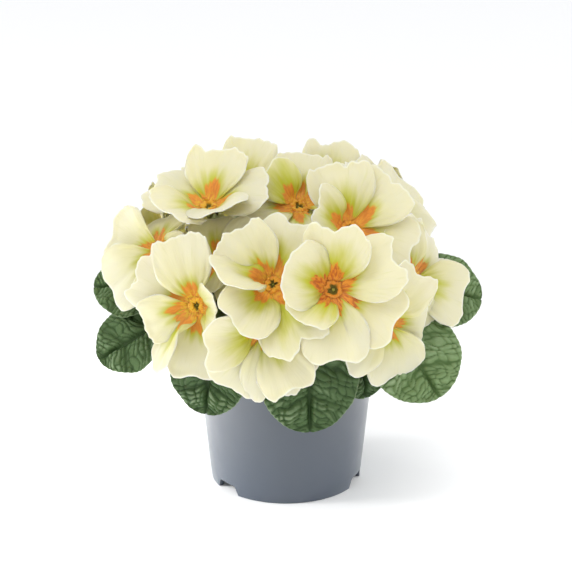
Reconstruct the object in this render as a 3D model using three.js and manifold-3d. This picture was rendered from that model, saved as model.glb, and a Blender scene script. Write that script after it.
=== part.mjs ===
// A potted primrose: a thin nursery pot filled with potting soil, a rosette of quilted leaves that
// arch over the rim, and a dome of five-petalled blooms, each on a stalk of its own.
// Millimetres and degrees, +Z up, -Y the front. The plant is laid out around the pot's axis, then
// moved so that the origin is at the bottom centre of all it spans.
import * as THREE from 'three';
import { mergeVertices } from 'three/addons/utils/BufferGeometryUtils.js';
import Module from 'manifold-3d';

const wasm = await Module();
wasm.setup();
const { Manifold, Mesh: SolidMesh } = wasm;

// ---- driving dimensions ----------------------------------------------------------------------

const GAP = 0.35; // left between two pieces that touch on the real plant

const POT = {
  height: 74,
  footRadius: 31,
  wallTopRadius: 38.5,
  rimRadius: 44.5,
  lipDrop: 3.5,
  wall: 1,
  floorHeight: 5,
  footWidth: 2,
  sides: 36,
  notchAngles: [-51, 69, 189], // where the foot is cut away, from the front, towards +X
  notchWidth: 25,
  notchHeight: 4,
  drainRadius: 3.5,
  drainCircle: 20,
};

const SOIL = { depthBelowRim: 6.5, lump: 0.9, crown: 2, sides: 22, rings: 2 };

const STALK = {
  radius: 1.15,
  sides: 5,
  steps: 4,
  calyxLength: 12,
  calyxRadius: 3.4,
  mouthRadius: 3.9,
  calyxWall: 0.9,
  rootDepth: 6,
  rootSpacing: 3.9,
  rootSpread: 0.1, // the rings of roots, as a share of the blooms' spread
};

const TUBE = { length: 15, radius: 1.6, neck: 1.9, lip: 4.5, lipThickness: 0.95, throat: 2.2, bore: 1.2, boreDepth: 6 };

const PETAL = {
  columns: [1, 4, 4], // along the root, then at each further step to the tip
  steps: [0, 0.45, 1],
  thickness: 0.65,
  start: 3,
  width: 0.5, // half the width, as a share of the length
  claw: 0.05,
  side: 0.52,
  roundness: 0.5,
  notch: 0.1,
  notchWidth: 0.3,
  lap: 1.3, // how far one edge stands over the next petal's
  spoon: 1.2,
  curl: 2.4,
};

const LEAF = {
  columns: 6,
  petioleWidth: 2.5,
  petioleThickness: 2.4,
  thickness: 0.9,
  rootDepth: 6.5,
  bladeStart: 0.26,
  sweep: 0.42, // the side veins run this far forward for each millimetre outwards
  channel: 1.3,
  quilt: 0.75,
  midlineSteps: 40,
};

// The blooms: the throat's place, the way it faces (from the front towards +X, and above the
// horizon), the petals' length and half width, and for each petal its angle (from the right, turning
// upwards, as seen from in front of the bloom), how far it stands up out of the bloom's plane, how
// far it is twisted about its own length, and its share of the full length.
const even = (turn, lift) => [0, 1, 2, 3, 4].map((i) => [turn + i * 72, lift]);
const BLOOMS = [
  { at: [18, -62, 105], face: [-4, 28], reach: 30, wide: 0.44, petals: [[85, 46], [26, 18], [-28, 2], [-86, 2], [162, 60], [228, 48, 0, 0.75]] },
  { at: [-5, -54, 104], face: [-4, 20], reach: 28, wide: 0.44, petals: [[128, 14], [72, 6], [163, 40, 76], [230, 48], [-62, 26, 0, 1.14]] },
  { at: [-35, -45, 92], face: [-16, 12], reach: 31, wide: 0.38, petals: [[106, 16], [162, -2], [204, 6, 0, 0.8], [241, 14, 60], [272, 4], [8, 66, 0, 0.85]] },
  { at: [-9, -57, 86], face: [-2, -8], reach: 29, wide: 0.42, petals: [[240, 14], [282, 20], [303, -4], [328, 8], [176, 58]] },
  { at: [-31, -10, 121], face: [-16, 66], reach: 28, wide: 0.46, petals: [[88, 32], [166, 14], [14, 28], [-52, 46], [-124, 44]] },
  { at: [25, -26, 117], face: [8, 46], reach: 29, wide: 0.46, petals: [[164, 58, 0, 0.85], [98, 26], [40, 20], [-26, 12], [-98, 20]] },
  { at: [39, -45, 85], face: [34, 2], reach: 26, petals: [[-80, 8], [-16, 4], [56, 6], [128, 6], [200, 10]] },
  { at: [50, -20, 93], face: [54, 18], reach: 27, petals: [[28, 4], [-40, 6], [-110, 10], [100, 12], [172, 16]] },
  { at: [5, -4, 119], face: [2, 58], reach: 26, wide: 0.46, petals: [[82, 22], [138, 44], [200, 22], [-90, 22], [14, 24]] },
  { at: [-50, -24, 107], face: [-40, 28], reach: 29, wide: 0.46, petals: [[122, -4], [178, 2], [230, 8], [8, 50, 0, 0.6], [-64, 12]] },
  { at: [40, 8, 112], face: [62, 44], reach: 27, petals: even(90, 12) },
  { at: [-19, 19, 117], face: [-24, 74], reach: 27, wide: 0.46, petals: [[88, 48], [160, 24], [16, 28], [-54, 60], [-126, 56]] },
  { at: [18, 17, 117], face: [24, 72], reach: 26, wide: 0.46, petals: [[70, 46], [142, 30], [-2, 24], [-74, 62], [-146, 60]] },
  { at: [-52, 14, 100], face: [-104, 20], reach: 25, petals: even(-90, 12) },
  { at: [51, 31, 86], face: [124, 0], reach: 24, petals: [[-90, 8], [-18, 8], [54, 4], [126, -20], [198, 10, 0, 0.6]] },
  { at: [-38, 42, 105], face: [-138, 34], reach: 25, petals: [[90, 0], [162, 14], [234, 32], [306, 18], [18, 4]] },
  { at: [-1, 50, 102], face: [180, 34], reach: 27, petals: even(90, 14) },
  { at: [36, 47, 106], face: [146, 32], reach: 25, petals: [[90, 0], [162, 4], [234, 18], [306, 32], [18, 14]] },
  { at: [-28, 58, 84], face: [-154, -2], reach: 25, petals: [[-90, 8], [-18, 2], [54, -12], [126, 0], [198, 8]] },
  { at: [27, 59, 84], face: [158, -2], reach: 25, petals: [[-90, 8], [-18, 8], [54, 0], [126, -12], [198, 2]] },
  { at: [-27, -26, 103], face: [-8, 44], reach: 23, petals: even(-42, 18) },
];

// The leaves: the way each grows (from the front towards +X), its ring in the rosette, length and
// half width, the slope it leaves the crown at, the slope its tip falls at, where along it the
// slope turns, and a roll about its own midrib that brings one edge down.
const LEAVES = [
  { away: -92, ring: 0, length: 76, half: 18, rise: 16, fall: 2, turn: 0.5, span: 0.26, roll: -32 },
  { away: -69, ring: 1, length: 73, half: 16, rise: 6, fall: 30, turn: 0.5, span: 0.24, roll: -38 },
  { away: -34, ring: 1, length: 76, half: 18, rise: 19, fall: 84, turn: 0.53, span: 0.18, roll: -6 },
  { away: 10, ring: 0, length: 90, half: 20, rise: 17, fall: 86, turn: 0.51, span: 0.16, roll: 0 },
  { away: 38, ring: 1, length: 62, half: 14, rise: 16, fall: 84, turn: 0.56, span: 0.17, roll: 0 },
  { away: 55, ring: 0, length: 85, half: 20, rise: 10, fall: 52, turn: 0.53, span: 0.2, roll: 36 },
  { away: 95, ring: 0, length: 80, half: 19, rise: 19, fall: 16, turn: 0.5, span: 0.26, roll: 40 },
  { away: 122, ring: 1, length: 72, half: 16, rise: 15, fall: 56, turn: 0.58, span: 0.24, roll: 0 },
  { away: 151, ring: 0, length: 74, half: 15, rise: 19, fall: 60, turn: 0.56, span: 0.24, roll: 0 },
  { away: 179, ring: 1, length: 72, half: 16, rise: 18, fall: 70, turn: 0.56, span: 0.22, roll: 0 },
  { away: -151, ring: 0, length: 74, half: 16, rise: 19, fall: 60, turn: 0.56, span: 0.24, roll: 0 },
  { away: -122, ring: 1, length: 70, half: 16, rise: 17, fall: 50, turn: 0.58, span: 0.24, roll: 0 },
];
const RINGS = [{ radius: 13.8, height: 1 }, { radius: 19.5, height: 0 }];

const COLOURS = {
  pot: 0x7b8490,
  soil: 0x3b2a1e,
  petal: 0xefe9c0,
  stalk: 0x8fa04a,
  leaf: 0x4d7440,
};

// ---- small tools -----------------------------------------------------------------------------

const radians = THREE.MathUtils.degToRad;
const smooth = (value, low, high) => THREE.MathUtils.smoothstep(value, low, high);
const vector = (x, y, z) => new THREE.Vector3(x, y, z);

// The direction at an angle from the front towards +X and an angle above the horizon.
function heading(around, above) {
  const [a, e] = [radians(around), radians(above)];
  return vector(Math.sin(a) * Math.cos(e), -Math.cos(a) * Math.cos(e), Math.sin(e));
}

// One closed solid from points and triangles.
function solidFrom(points, triangles) {
  const vertProperties = new Float32Array(points.flatMap((p) => [p.x, p.y, p.z]));
  const triVerts = new Uint32Array(triangles.flat());
  return new Manifold(new SolidMesh({ numProp: 3, vertProperties, triVerts }));
}

// A geometry as a solid, with its shared vertices merged.
function solidOf(geometry) {
  const bare = geometry.clone();
  bare.deleteAttribute('normal');
  bare.deleteAttribute('uv');
  const merged = mergeVertices(bare, 1e-3);
  const index = merged.index.array;
  const triangles = [];
  for (let i = 0; i < index.length; i += 3) {
    const [a, b, c] = [index[i], index[i + 1], index[i + 2]];
    if (a !== b && b !== c && c !== a) triangles.push([a, b, c]);
  }
  const place = merged.attributes.position;
  const points = Array.from({ length: place.count }, (_, i) => vector().fromBufferAttribute(place, i));
  return solidFrom(points, triangles);
}

// A solid of revolution about Z from [radius, height] pairs.
function turned(profile, sides) {
  const geometry = new THREE.LatheGeometry(profile.map(([r, z]) => new THREE.Vector2(r, z)), sides);
  return solidOf(geometry.rotateX(Math.PI / 2));
}

// A solid's largest body as a named mesh; loose scraps are dropped.
function pieceOf(name, solid, colour, roughness) {
  const whole = solid.decompose().reduce((a, b) => (b.volume() > a.volume() ? b : a));
  const mesh = whole.getMesh();
  const points = [];
  for (let i = 0; i < mesh.vertProperties.length; i += mesh.numProp) {
    points.push(...mesh.vertProperties.slice(i, i + 3));
  }
  const geometry = new THREE.BufferGeometry();
  geometry.setAttribute('position', new THREE.Float32BufferAttribute(points, 3));
  geometry.setIndex([...mesh.triVerts]);
  geometry.computeVertexNormals();
  const material = new THREE.MeshStandardMaterial({ color: colour, roughness, metalness: 0 });
  const piece = new THREE.Mesh(geometry, material);
  piece.name = name;
  return piece;
}

// A thin closed blade: middle(row, q) gives its middle surface, q running from -1 to 1 across it,
// and columns how many facets each row has across. Both faces are split alike.
function blade(columns, middle, thickness) {
  const last = columns.length - 1;
  const starts = [];
  const faces = [[], []];
  columns.forEach((count, row) => {
    starts.push(faces[0].length);
    for (let c = 0; c <= count; c++) {
      const q = (c / count) * 2 - 1;
      const step = 2 / count;
      const along = middle(Math.min(row + 1, last), q).sub(middle(Math.max(row - 1, 0), q));
      const across = middle(row, Math.min(q + step, 1)).sub(middle(row, Math.max(q - step, -1)));
      const out = along.cross(across).normalize().multiplyScalar(thickness(row) / 2);
      faces[0].push(middle(row, q).add(out));
      faces[1].push(middle(row, q).sub(out));
    }
  });
  const under = faces[0].length;
  const triangles = [];
  const edge = [];
  for (let row = 0; row < last; row++) {
    let [i, j] = [0, 0];
    const [near, far] = [columns[row], columns[row + 1]];
    while (i < near || j < far) {
      const [a, b] = [starts[row] + i, starts[row + 1] + j];
      const tie = (j < far / 2) === (row % 2 === 0) ? 1e-6 : -1e-6;
      const nearFirst = i < near && (j === far || (i + 1) / near + tie < (j + 1) / far);
      const c = nearFirst ? a + 1 : b + 1;
      triangles.push([a, b, c], [a + under, c + under, b + under]);
      if (nearFirst) i++;
      else j++;
    }
  }
  for (let c = 0; c < columns[0]; c++) edge.push(c);
  for (let row = 0; row < last; row++) edge.push(starts[row] + columns[row]);
  for (let c = columns[last]; c > 0; c--) edge.push(starts[last] + c);
  for (let row = last; row > 0; row--) edge.push(starts[row]);
  edge.forEach((a, i) => {
    const b = edge[(i + 1) % edge.length];
    triangles.push([a, b, a + under], [b, b + under, a + under]);
  });
  return solidFrom([...faces[0], ...faces[1]], triangles);
}

// A closed tube through rings of [centre, direction, radius], the last ring leading back inside.
function sleeve(rings, sides) {
  const points = [];
  let side = vector(1, 0, 0);
  rings.forEach(([centre, direction, radius]) => {
    side = side.clone().addScaledVector(direction, -side.dot(direction)).normalize();
    const other = direction.clone().cross(side);
    for (let i = 0; i < sides; i++) {
      const angle = (i / sides) * 2 * Math.PI;
      points.push(
        centre.clone().addScaledVector(side, radius * Math.cos(angle)).addScaledVector(other, radius * Math.sin(angle)),
      );
    }
  });
  const triangles = [];
  for (let r = 0; r + 1 < rings.length; r++) {
    for (let i = 0; i < sides; i++) {
      const [a, b] = [r * sides + i, r * sides + ((i + 1) % sides)];
      triangles.push([a, b, a + sides], [b, b + sides, a + sides]);
    }
  }
  const last = (rings.length - 1) * sides;
  for (let i = 1; i + 1 < sides; i++) triangles.push([0, i + 1, i], [last, last + i, last + i + 1]);
  return solidFrom(points, triangles);
}

// ---- the pot and its soil --------------------------------------------------------------------

const wallRadius = (z) => THREE.MathUtils.mapLinear(z, 0, POT.height, POT.footRadius, POT.wallTopRadius);

function potSolid() {
  const { height, wall, floorHeight, footWidth, rimRadius, lipDrop } = POT;
  const inner = (z) => wallRadius(z) - wall;
  const profile = [
    [0, floorHeight - wall],
    [wallRadius(0) - footWidth, floorHeight - wall],
    [wallRadius(0) - footWidth, 0],
    [wallRadius(0), 0],
    [wallRadius(height - wall * 2), height - wall * 2],
    [rimRadius - wall, height - wall * 2],
    [rimRadius - wall, height - lipDrop],
    [rimRadius, height - lipDrop],
    [rimRadius, height],
    [inner(height), height],
    [inner(floorHeight), floorHeight],
    [0, floorHeight],
  ];
  let pot = turned(profile, POT.sides);
  for (const angle of POT.notchAngles) {
    pot = pot.subtract(notchSolid(angle));
    const hole = new THREE.CylinderGeometry(POT.drainRadius, POT.drainRadius, 4 * wall, 8);
    const centre = heading(angle, 0).multiplyScalar(POT.drainCircle).setZ(floorHeight);
    pot = pot.subtract(solidOf(hole.rotateX(Math.PI / 2).translate(...centre)));
  }
  return pot;
}

// A wedge with a sloping side, which cuts one arch out of the foot.
function notchSolid(angle) {
  const half = POT.footRadius * Math.sin(radians(POT.notchWidth / 2));
  const shape = new THREE.Shape();
  shape.moveTo(-half, -1);
  shape.lineTo(-half * 0.7, POT.notchHeight);
  shape.lineTo(half * 0.7, POT.notchHeight);
  shape.lineTo(half, -1);
  const depth = 9;
  const geometry = new THREE.ExtrudeGeometry(shape, { depth, bevelEnabled: false });
  geometry.rotateX(Math.PI / 2).translate(0, -POT.footRadius + depth - 3, 0).rotateZ(radians(angle));
  return solidOf(geometry);
}

const soilTop = POT.height - SOIL.depthBelowRim;

// The soil's surface: lumps from three waves, rising to the crown.
function soilHeight(x, y) {
  const lumps = Math.sin(x * 0.61 + y * 0.23) + Math.sin(y * 0.53 - x * 0.31 + 1.7) + Math.sin((x + y) * 0.9);
  return soilTop + SOIL.lump * lumps / 2 + SOIL.crown * Math.exp(-(x * x + y * y) / 500);
}

function soilSolid(holes) {
  const [bottom, top] = [POT.floorHeight + GAP, soilTop];
  const fit = POT.wall + GAP + 0.3; // the flat sides of pot and soil differ by this much at most
  const profile = [[0, bottom], [wallRadius(bottom) - fit, bottom]];
  for (let ring = SOIL.rings; ring >= 0; ring--) {
    profile.push([(wallRadius(top) - fit) * (ring / SOIL.rings), top]);
  }
  const geometry = new THREE.LatheGeometry(profile.map(([r, z]) => new THREE.Vector2(r, z)), SOIL.sides);
  geometry.rotateX(Math.PI / 2);
  const place = geometry.attributes.position;
  for (let i = 0; i < place.count; i++) {
    if (place.getZ(i) < top - 1) continue;
    place.setZ(i, soilHeight(place.getX(i), place.getY(i)));
  }
  return holes.reduce((soil, hole) => soil.subtract(hole), solidOf(geometry));
}

// ---- leaves ----------------------------------------------------------------------------------

// The midrib as points and directions, from its root in the soil to the tip.
function midrib(leaf, { tilt, swing }) {
  const ring = RINGS[leaf.ring];
  const start = heading(leaf.away, 0).multiplyScalar(ring.radius);
  const points = [vector(start.x, start.y, soilTop + ring.height - LEAF.rootDepth)];
  const headings = [];
  const step = leaf.length / LEAF.midlineSteps;
  for (let i = 0; i <= LEAF.midlineSteps; i++) {
    const share = i / LEAF.midlineSteps;
    const upright = (75 - leaf.rise) * (1 - smooth(share, 0.12, 0.24));
    const arch = leaf.rise - (leaf.rise + leaf.fall) * smooth(share, leaf.turn - leaf.span, leaf.turn + leaf.span);
    headings.push([leaf.away + swing * smooth(share, 0.14, 0.5), upright + arch + tilt * smooth(share, 0.14, 0.3)]);
    points.push(points[i].clone().addScaledVector(heading(...headings[i]), step));
  }
  return { points, headings };
}

// The half width of the blade where its side vein leaves the midrib.
function leafHalf(leaf, share) {
  const blade = Math.max(0, (share - LEAF.bladeStart) / (1 - LEAF.bladeStart));
  return LEAF.petioleWidth * (1 - blade ** 6) + (leaf.half - LEAF.petioleWidth) * Math.sin(Math.PI * blade ** 1.05) ** 0.7;
}

const LEAF_ROWS = [0, 0.13, 0.25, 0.37, 0.48, 0.58, 0.67, 0.75, 0.83, 0.9, 0.96, 0.995];

// A point of the blade's middle surface: its share of the way along, and from edge to edge.
function leafPoint(leaf, { points, headings }, row, share, q, extra) {
  const half = leafHalf(leaf, share) + extra;
  const along = share * leaf.length + LEAF.sweep * Math.abs(q) * half * smooth(share, 0.2, 0.4);
  const place = Math.min(along / leaf.length, 1) * LEAF.midlineSteps;
  const i = Math.min(Math.floor(place), LEAF.midlineSteps - 1);
  const [around, above] = headings[i];
  const ahead = heading(around, above);
  const level = vector(Math.cos(radians(around)), Math.sin(radians(around)), 0);
  const side = level.applyAxisAngle(ahead, radians(leaf.roll * smooth(share, 0.4, 0.8)));
  const lift = ahead.clone().cross(side);
  const puffed = smooth(share, 0.36, 0.62) * (1 - smooth(share, 0.93, 1));
  const relief = LEAF.quilt * (row % 2 ? 1 : -1) * Math.sqrt(Math.sin(Math.PI * Math.min(1, Math.abs(q) * 1.2)));
  const channel = LEAF.channel * (Math.abs(q) < 0.1 ? -1 : 0.25);
  return points[i].clone().lerp(points[i + 1], place - i)
    .addScaledVector(side, q * half)
    .addScaledVector(ahead, Math.max(0, along - leaf.length))
    .addScaledVector(lift, puffed * (relief + channel));
}

function leafSolid(leaf, fit) {
  const line = midrib(leaf, fit);
  const middle = (row, q) => leafPoint(leaf, line, row, LEAF_ROWS[row], q, 0);
  const thickness = (row) => {
    const petiole = 1 - smooth(LEAF_ROWS[row], 0.2, 0.5);
    return LEAF.thickness + (LEAF.petioleThickness - LEAF.thickness) * petiole;
  };
  return blade(LEAF_ROWS.map(() => LEAF.columns), middle, thickness);
}

// The plain hole that a leaf stands in, along the straight foot of its petiole.
function leafHole(leaf) {
  const line = midrib(leaf, LEAF_FITS[0]);
  const up = heading(...line.headings[0]);
  const reach = LEAF_ROWS[1] * leaf.length + 3;
  const middle = (row, q) => leafPoint(leaf, line, 0, 0, q, 1.5 * GAP).addScaledVector(up, row ? reach : -GAP);
  return blade([1, 1], middle, () => LEAF.petioleThickness + 3.2 * GAP);
}

// ---- stalks and blooms -----------------------------------------------------------------------

// Where the stalks leave the soil: under their blooms, pushed apart until none touch.
function stalkRoots() {
  const roots = BLOOMS.map(({ at }) => new THREE.Vector2(at[0], at[1]).multiplyScalar(STALK.rootSpread));
  for (let round = 0; round < 80; round++) {
    roots.forEach((a, i) => roots.slice(i + 1).forEach((b) => {
      const apart = b.clone().sub(a);
      const short = STALK.rootSpacing - apart.length();
      if (short <= 0) return;
      apart.setLength(short / 2);
      a.sub(apart);
      b.add(apart);
    }));
  }
  return roots;
}

// The stalk's curve, from the soil's surface to the calyx behind the bloom.
function stalkCurve(bloom, root, { climb, run, sway }) {
  const facing = heading(...bloom.face);
  const base = vector(...bloom.at).addScaledVector(facing, -TUBE.length - 2);
  const foot = vector(root.x, root.y, soilTop + SOIL.crown + SOIL.lump);
  const rise = base.distanceTo(foot);
  const aside = vector(-facing.y, facing.x, 0).setLength(sway);
  return new THREE.CubicBezierCurve3(
    foot,
    vector(root.x, root.y, foot.z + rise * climb),
    base.clone().addScaledVector(facing, -rise * run).add(aside),
    base,
  );
}

function stalkSolid(bloom, root, fit) {
  const facing = heading(...bloom.face);
  const curve = stalkCurve(bloom, root, fit);
  const behind = (distance) => vector(...bloom.at).addScaledVector(facing, -distance);
  const up = vector(0, 0, 1);
  const rings = [[vector(root.x, root.y, soilTop - STALK.rootDepth), up, STALK.radius]];
  for (let i = 0; i < STALK.steps; i++) {
    rings.push([curve.getPoint(i / STALK.steps), curve.getTangent(i / STALK.steps), STALK.radius]);
  }
  const [base, mouth] = [TUBE.length + 2, TUBE.length + 2 - STALK.calyxLength];
  rings.push([behind(base), facing, STALK.radius + 0.2]);
  rings.push([behind(base - 0.8), facing, STALK.calyxRadius]);
  rings.push([behind(mouth), facing, STALK.mouthRadius]);
  rings.push([behind(mouth), facing, STALK.mouthRadius - STALK.calyxWall]);
  rings.push([behind(TUBE.length + GAP), facing, STALK.calyxRadius - STALK.calyxWall]);
  return sleeve(rings, STALK.sides);
}

// The plain hole that a stalk stands in.
function stalkHole(root) {
  const [bottom, top] = [soilTop - STALK.rootDepth - GAP, soilTop + SOIL.crown + 2 * SOIL.lump];
  const up = vector(0, 0, 1);
  const radius = STALK.radius + GAP * 1.4;
  return sleeve([[vector(root.x, root.y, bottom), up, radius], [vector(root.x, root.y, top), up, radius]], STALK.sides);
}

// The corolla's tube, which widens into a lip that carries the petals and is open in front. It has
// one side for each petal.
function tubeSolid(turn) {
  const { length, radius, neck, lip, lipThickness, throat, bore, boreDepth } = TUBE;
  const profile = [
    [0, -length],
    [radius, -length],
    [neck, -4],
    [lip, -lipThickness / 2],
    [lip, lipThickness / 2],
    [throat, lipThickness / 2],
    [bore, -1.5],
    [bore, -boreDepth],
    [0, -boreDepth],
  ];
  return turned(profile, 5).rotate([0, 0, turn - 18]);
}

// Which way each edge of a petal leans over its neighbours, as [towards the smaller angles, towards
// the larger]: over a petal that lies lower, under one that stands higher.
function petalLaps(bloom, index) {
  const [angle, lift] = bloom.petals[index];
  const apart = (other) => THREE.MathUtils.euclideanModulo(other[0] - angle, 360);
  const others = bloom.petals.filter((other, i) => i !== index).sort((a, b) => apart(a) - apart(b));
  return [Math.sign(lift - others.at(-1)[1]) || -1, Math.sign(lift - others[0][1]) || 1];
}

// The petal's middle surface before it is bent up or down: length along X, width along Y.
function petalPoint(length, width, laps, u, q) {
  const angle = q * Math.PI / 2;
  const { side, roundness, notch, notchWidth, claw } = PETAL;
  const reach = side + (1 - side) * Math.cos(angle) ** roundness - notch * Math.exp(-((q / notchWidth) ** 2));
  const spread = claw + (1 - claw) * Math.sin(u * Math.PI / 2) ** 1.1;
  const long = length - PETAL.start;
  const across = Math.sin(angle);
  const x = u * reach * long;
  const y = width * length * spread * across;
  const edge = PETAL.lap * laps[q > 0 ? 1 : 0] * Math.abs(across) + PETAL.spoon * across * across;
  const z = edge * Math.min(1, u * 3)
    - PETAL.curl * (x / long) ** 2 + 1.2 * Math.sin(u * Math.PI);
  return vector(x, y, z);
}

// One petal in the bloom's own frame, bent up by an angle about its root.
function petalSolid(bloom, index, { bend, size }) {
  const [angle, lift, twist = 0, share = 1] = bloom.petals[index];
  const laps = petalLaps(bloom, index);
  const around = new THREE.Matrix4().makeRotationZ(radians(angle));
  const tilt = new THREE.Matrix4().makeRotationY(-radians(lift + bend));
  const middle = (row, q) => {
    const u = PETAL.steps[row];
    const point = petalPoint(bloom.reach * share * size, bloom.wide ?? PETAL.width, laps, u, q);
    point.applyMatrix4(new THREE.Matrix4().makeRotationX(radians(twist) * smooth(u, 0, 0.45)));
    point.applyMatrix4(tilt);
    point.x += PETAL.start;
    return point.applyMatrix4(around).applyMatrix4(bloom.frame);
  };
  return blade(PETAL.columns, middle, () => PETAL.thickness);
}

// The bloom's frame: Z the way it faces, X to the right and Y up as seen from in front of it.
function bloomFrame(bloom) {
  const facing = heading(...bloom.face);
  const up = heading(bloom.face[0], bloom.face[1] + 90);
  return new THREE.Matrix4().makeBasis(up.clone().cross(facing), up, facing).setPosition(...bloom.at);
}

function moved(solid, matrix) {
  return solid.transform([...matrix.elements]);
}

// Ways tried to fit a petal, a leaf or a stalk in, the least change first, until it clears what is
// there already: a petal is bent forwards or back and then shortened, a leaf is tilted and swung
// aside, a stalk climbs further before it bends.
const bothWays = (values) => values.flatMap((value) => (value ? [value, -value] : [0]));
const listed = (options, cost) => options.sort((a, b) => cost(a) - cost(b));
const PETAL_FITS = listed(
  [1, 0.86, 0.72, 0.6, 0.5].flatMap((size) => bothWays([0, 6, 12, 18, 24, 30, 36, 42, 48, 54]).map((bend) => ({ bend, size }))),
  ({ bend, size }) => Math.abs(bend) + 110 * (1 - size),
);
const LEAF_FITS = listed(
  bothWays([0, 2, 4, 6, 8, 10, 12]).flatMap((tilt) => bothWays([0, 3, 6, 9]).map((swing) => ({ tilt, swing }))),
  ({ tilt, swing }) => Math.abs(tilt) + Math.abs(swing),
);
const STALK_FITS = listed(
  [0.45, 0.6, 0.75, 0.9].flatMap((climb) => [0.35, 0.5, 0.2, 0.1].flatMap((run) => bothWays([0, 4, 8])
    .map((sway) => ({ climb, run, sway })))),
  ({ climb, run, sway }) => 20 * climb + 10 * Math.abs(run - 0.35) + Math.abs(sway),
);

function clears(solid, placed, gap = GAP) {
  return placed.every((other) => solid.minGap(other, gap) >= gap);
}

// The first of the options whose solid is clear, or the first of all.
function fitted(options, make, isClear) {
  return make(options.find((option) => isClear(make(option))) ?? options[0]);
}

function bloomSolid(bloom, tube, placed) {
  const petals = [];
  bloom.petals.forEach((petal, i) => {
    const crosses = (solid) => petals.some((other) => solid.intersect(other).volume() > 7);
    const isClear = (solid) => !crosses(solid) && clears(solid, placed);
    petals.push(fitted(PETAL_FITS, (fit) => petalSolid(bloom, i, fit), isClear));
  });
  return petals.reduce((whole, petal) => whole.add(petal), tube);
}

// ---- the plant -------------------------------------------------------------------------------

const numbered = (name, i) => name + '_' + String(i + 1).padStart(2, '0');
const pot = potSolid();
const placed = [pot];
const holes = [];
const leaves = LEAVES.map((leaf) => {
  const solid = fitted(LEAF_FITS, (fit) => leafSolid(leaf, fit), (tried) => clears(tried, placed));
  placed.push(solid);
  holes.push(leafHole(leaf));
  return solid;
});
const roots = stalkRoots();
const stalks = BLOOMS.map((bloom, i) => {
  const solid = fitted(STALK_FITS, (fit) => stalkSolid(bloom, roots[i], fit), (tried) => clears(tried, placed));
  placed.push(solid);
  holes.push(stalkHole(roots[i]));
  return solid;
});
const tubes = BLOOMS.map((bloom) => {
  bloom.frame = bloomFrame(bloom);
  return moved(tubeSolid(bloom.petals[0][0]), bloom.frame);
});
placed.push(...tubes);
const blooms = BLOOMS.map((bloom, i) => {
  const solid = bloomSolid(bloom, tubes[i], placed.filter((other) => other !== tubes[i]));
  placed.push(solid);
  return solid;
});

const plant = new THREE.Group();
plant.add(pieceOf('pot', pot, COLOURS.pot, 0.45));
plant.add(pieceOf('soil', soilSolid(holes), COLOURS.soil, 0.95));
leaves.forEach((solid, i) => plant.add(pieceOf(numbered('leaf', i), solid, COLOURS.leaf, 0.6)));
stalks.forEach((solid, i) => plant.add(pieceOf(numbered('stalk', i), solid, COLOURS.stalk, 0.6)));
blooms.forEach((solid, i) => plant.add(pieceOf(numbered('bloom', i), solid, COLOURS.petal, 0.55)));

const middle = new THREE.Box3().setFromObject(plant).getCenter(vector());
plant.children.forEach((piece) => piece.geometry.translate(-middle.x, -middle.y, 0));

export default plant;
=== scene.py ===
# A potted primrose: a satin nursery pot, potting soil, quilted leaves, downy stalks and a dome of
# ivory blooms with orange eyes. Lengths here are in millimetres around the pot's axis.
import itertools
import math
import random

import bpy
import numpy as np
from mathutils import Matrix, Vector, kdtree, noise


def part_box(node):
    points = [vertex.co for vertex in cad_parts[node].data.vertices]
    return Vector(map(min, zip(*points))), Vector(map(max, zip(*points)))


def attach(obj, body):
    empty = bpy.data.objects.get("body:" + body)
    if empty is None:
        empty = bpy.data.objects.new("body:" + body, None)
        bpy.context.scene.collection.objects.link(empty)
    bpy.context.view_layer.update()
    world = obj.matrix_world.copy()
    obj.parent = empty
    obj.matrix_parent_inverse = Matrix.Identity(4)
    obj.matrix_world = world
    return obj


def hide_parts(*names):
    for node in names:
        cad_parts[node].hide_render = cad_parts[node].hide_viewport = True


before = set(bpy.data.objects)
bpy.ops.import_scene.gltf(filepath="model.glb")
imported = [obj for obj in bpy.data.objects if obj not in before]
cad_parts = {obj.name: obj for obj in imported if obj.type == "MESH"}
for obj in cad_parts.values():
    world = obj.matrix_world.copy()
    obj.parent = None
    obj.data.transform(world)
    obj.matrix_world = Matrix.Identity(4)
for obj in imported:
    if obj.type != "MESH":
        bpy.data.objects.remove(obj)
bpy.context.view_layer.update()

potLow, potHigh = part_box("pot")
potAxis = (potLow + potHigh) / 2  # the pot's axis stands a little off the plant's middle
millimetre = 0.001


def deselect():
    if bpy.context.object and bpy.context.object.mode != "OBJECT":
        bpy.ops.object.mode_set(mode="OBJECT")
    bpy.ops.object.select_all(action="DESELECT")


def selectOnly(piece):
    deselect()
    piece.select_set(True)
    bpy.context.view_layer.objects.active = piece


def newPiece(name, points, edges, faces):
    mesh = bpy.data.meshes.new(name)
    mesh.from_pydata(points, edges, faces)
    piece = bpy.data.objects.new(name, mesh)
    bpy.context.scene.collection.objects.link(piece)
    return piece


def pointsOf(piece, kind="co"):
    # where the points are, or with "normal" the way each of them faces
    flat = np.zeros(len(piece.data.vertices) * 3)
    piece.data.vertices.foreach_get(kind, flat)
    return flat.reshape(-1, 3)


def placePoints(piece, points):
    # moves the points to places given in millimetres around the pot's axis
    points = np.array(points) * millimetre + np.array([potAxis.x, potAxis.y, 0])
    piece.data.vertices.foreach_set("co", points.ravel())
    piece.data.update()


def setAttributes(piece, **attributes):
    # gives each point a value for the materials to read, or all points the same one
    count = len(piece.data.vertices)
    for name, values in attributes.items():
        layer = piece.data.attributes.new(name, "FLOAT", "POINT")
        layer.data.foreach_set("value", np.broadcast_to(values, count).astype(np.float32))


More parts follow.
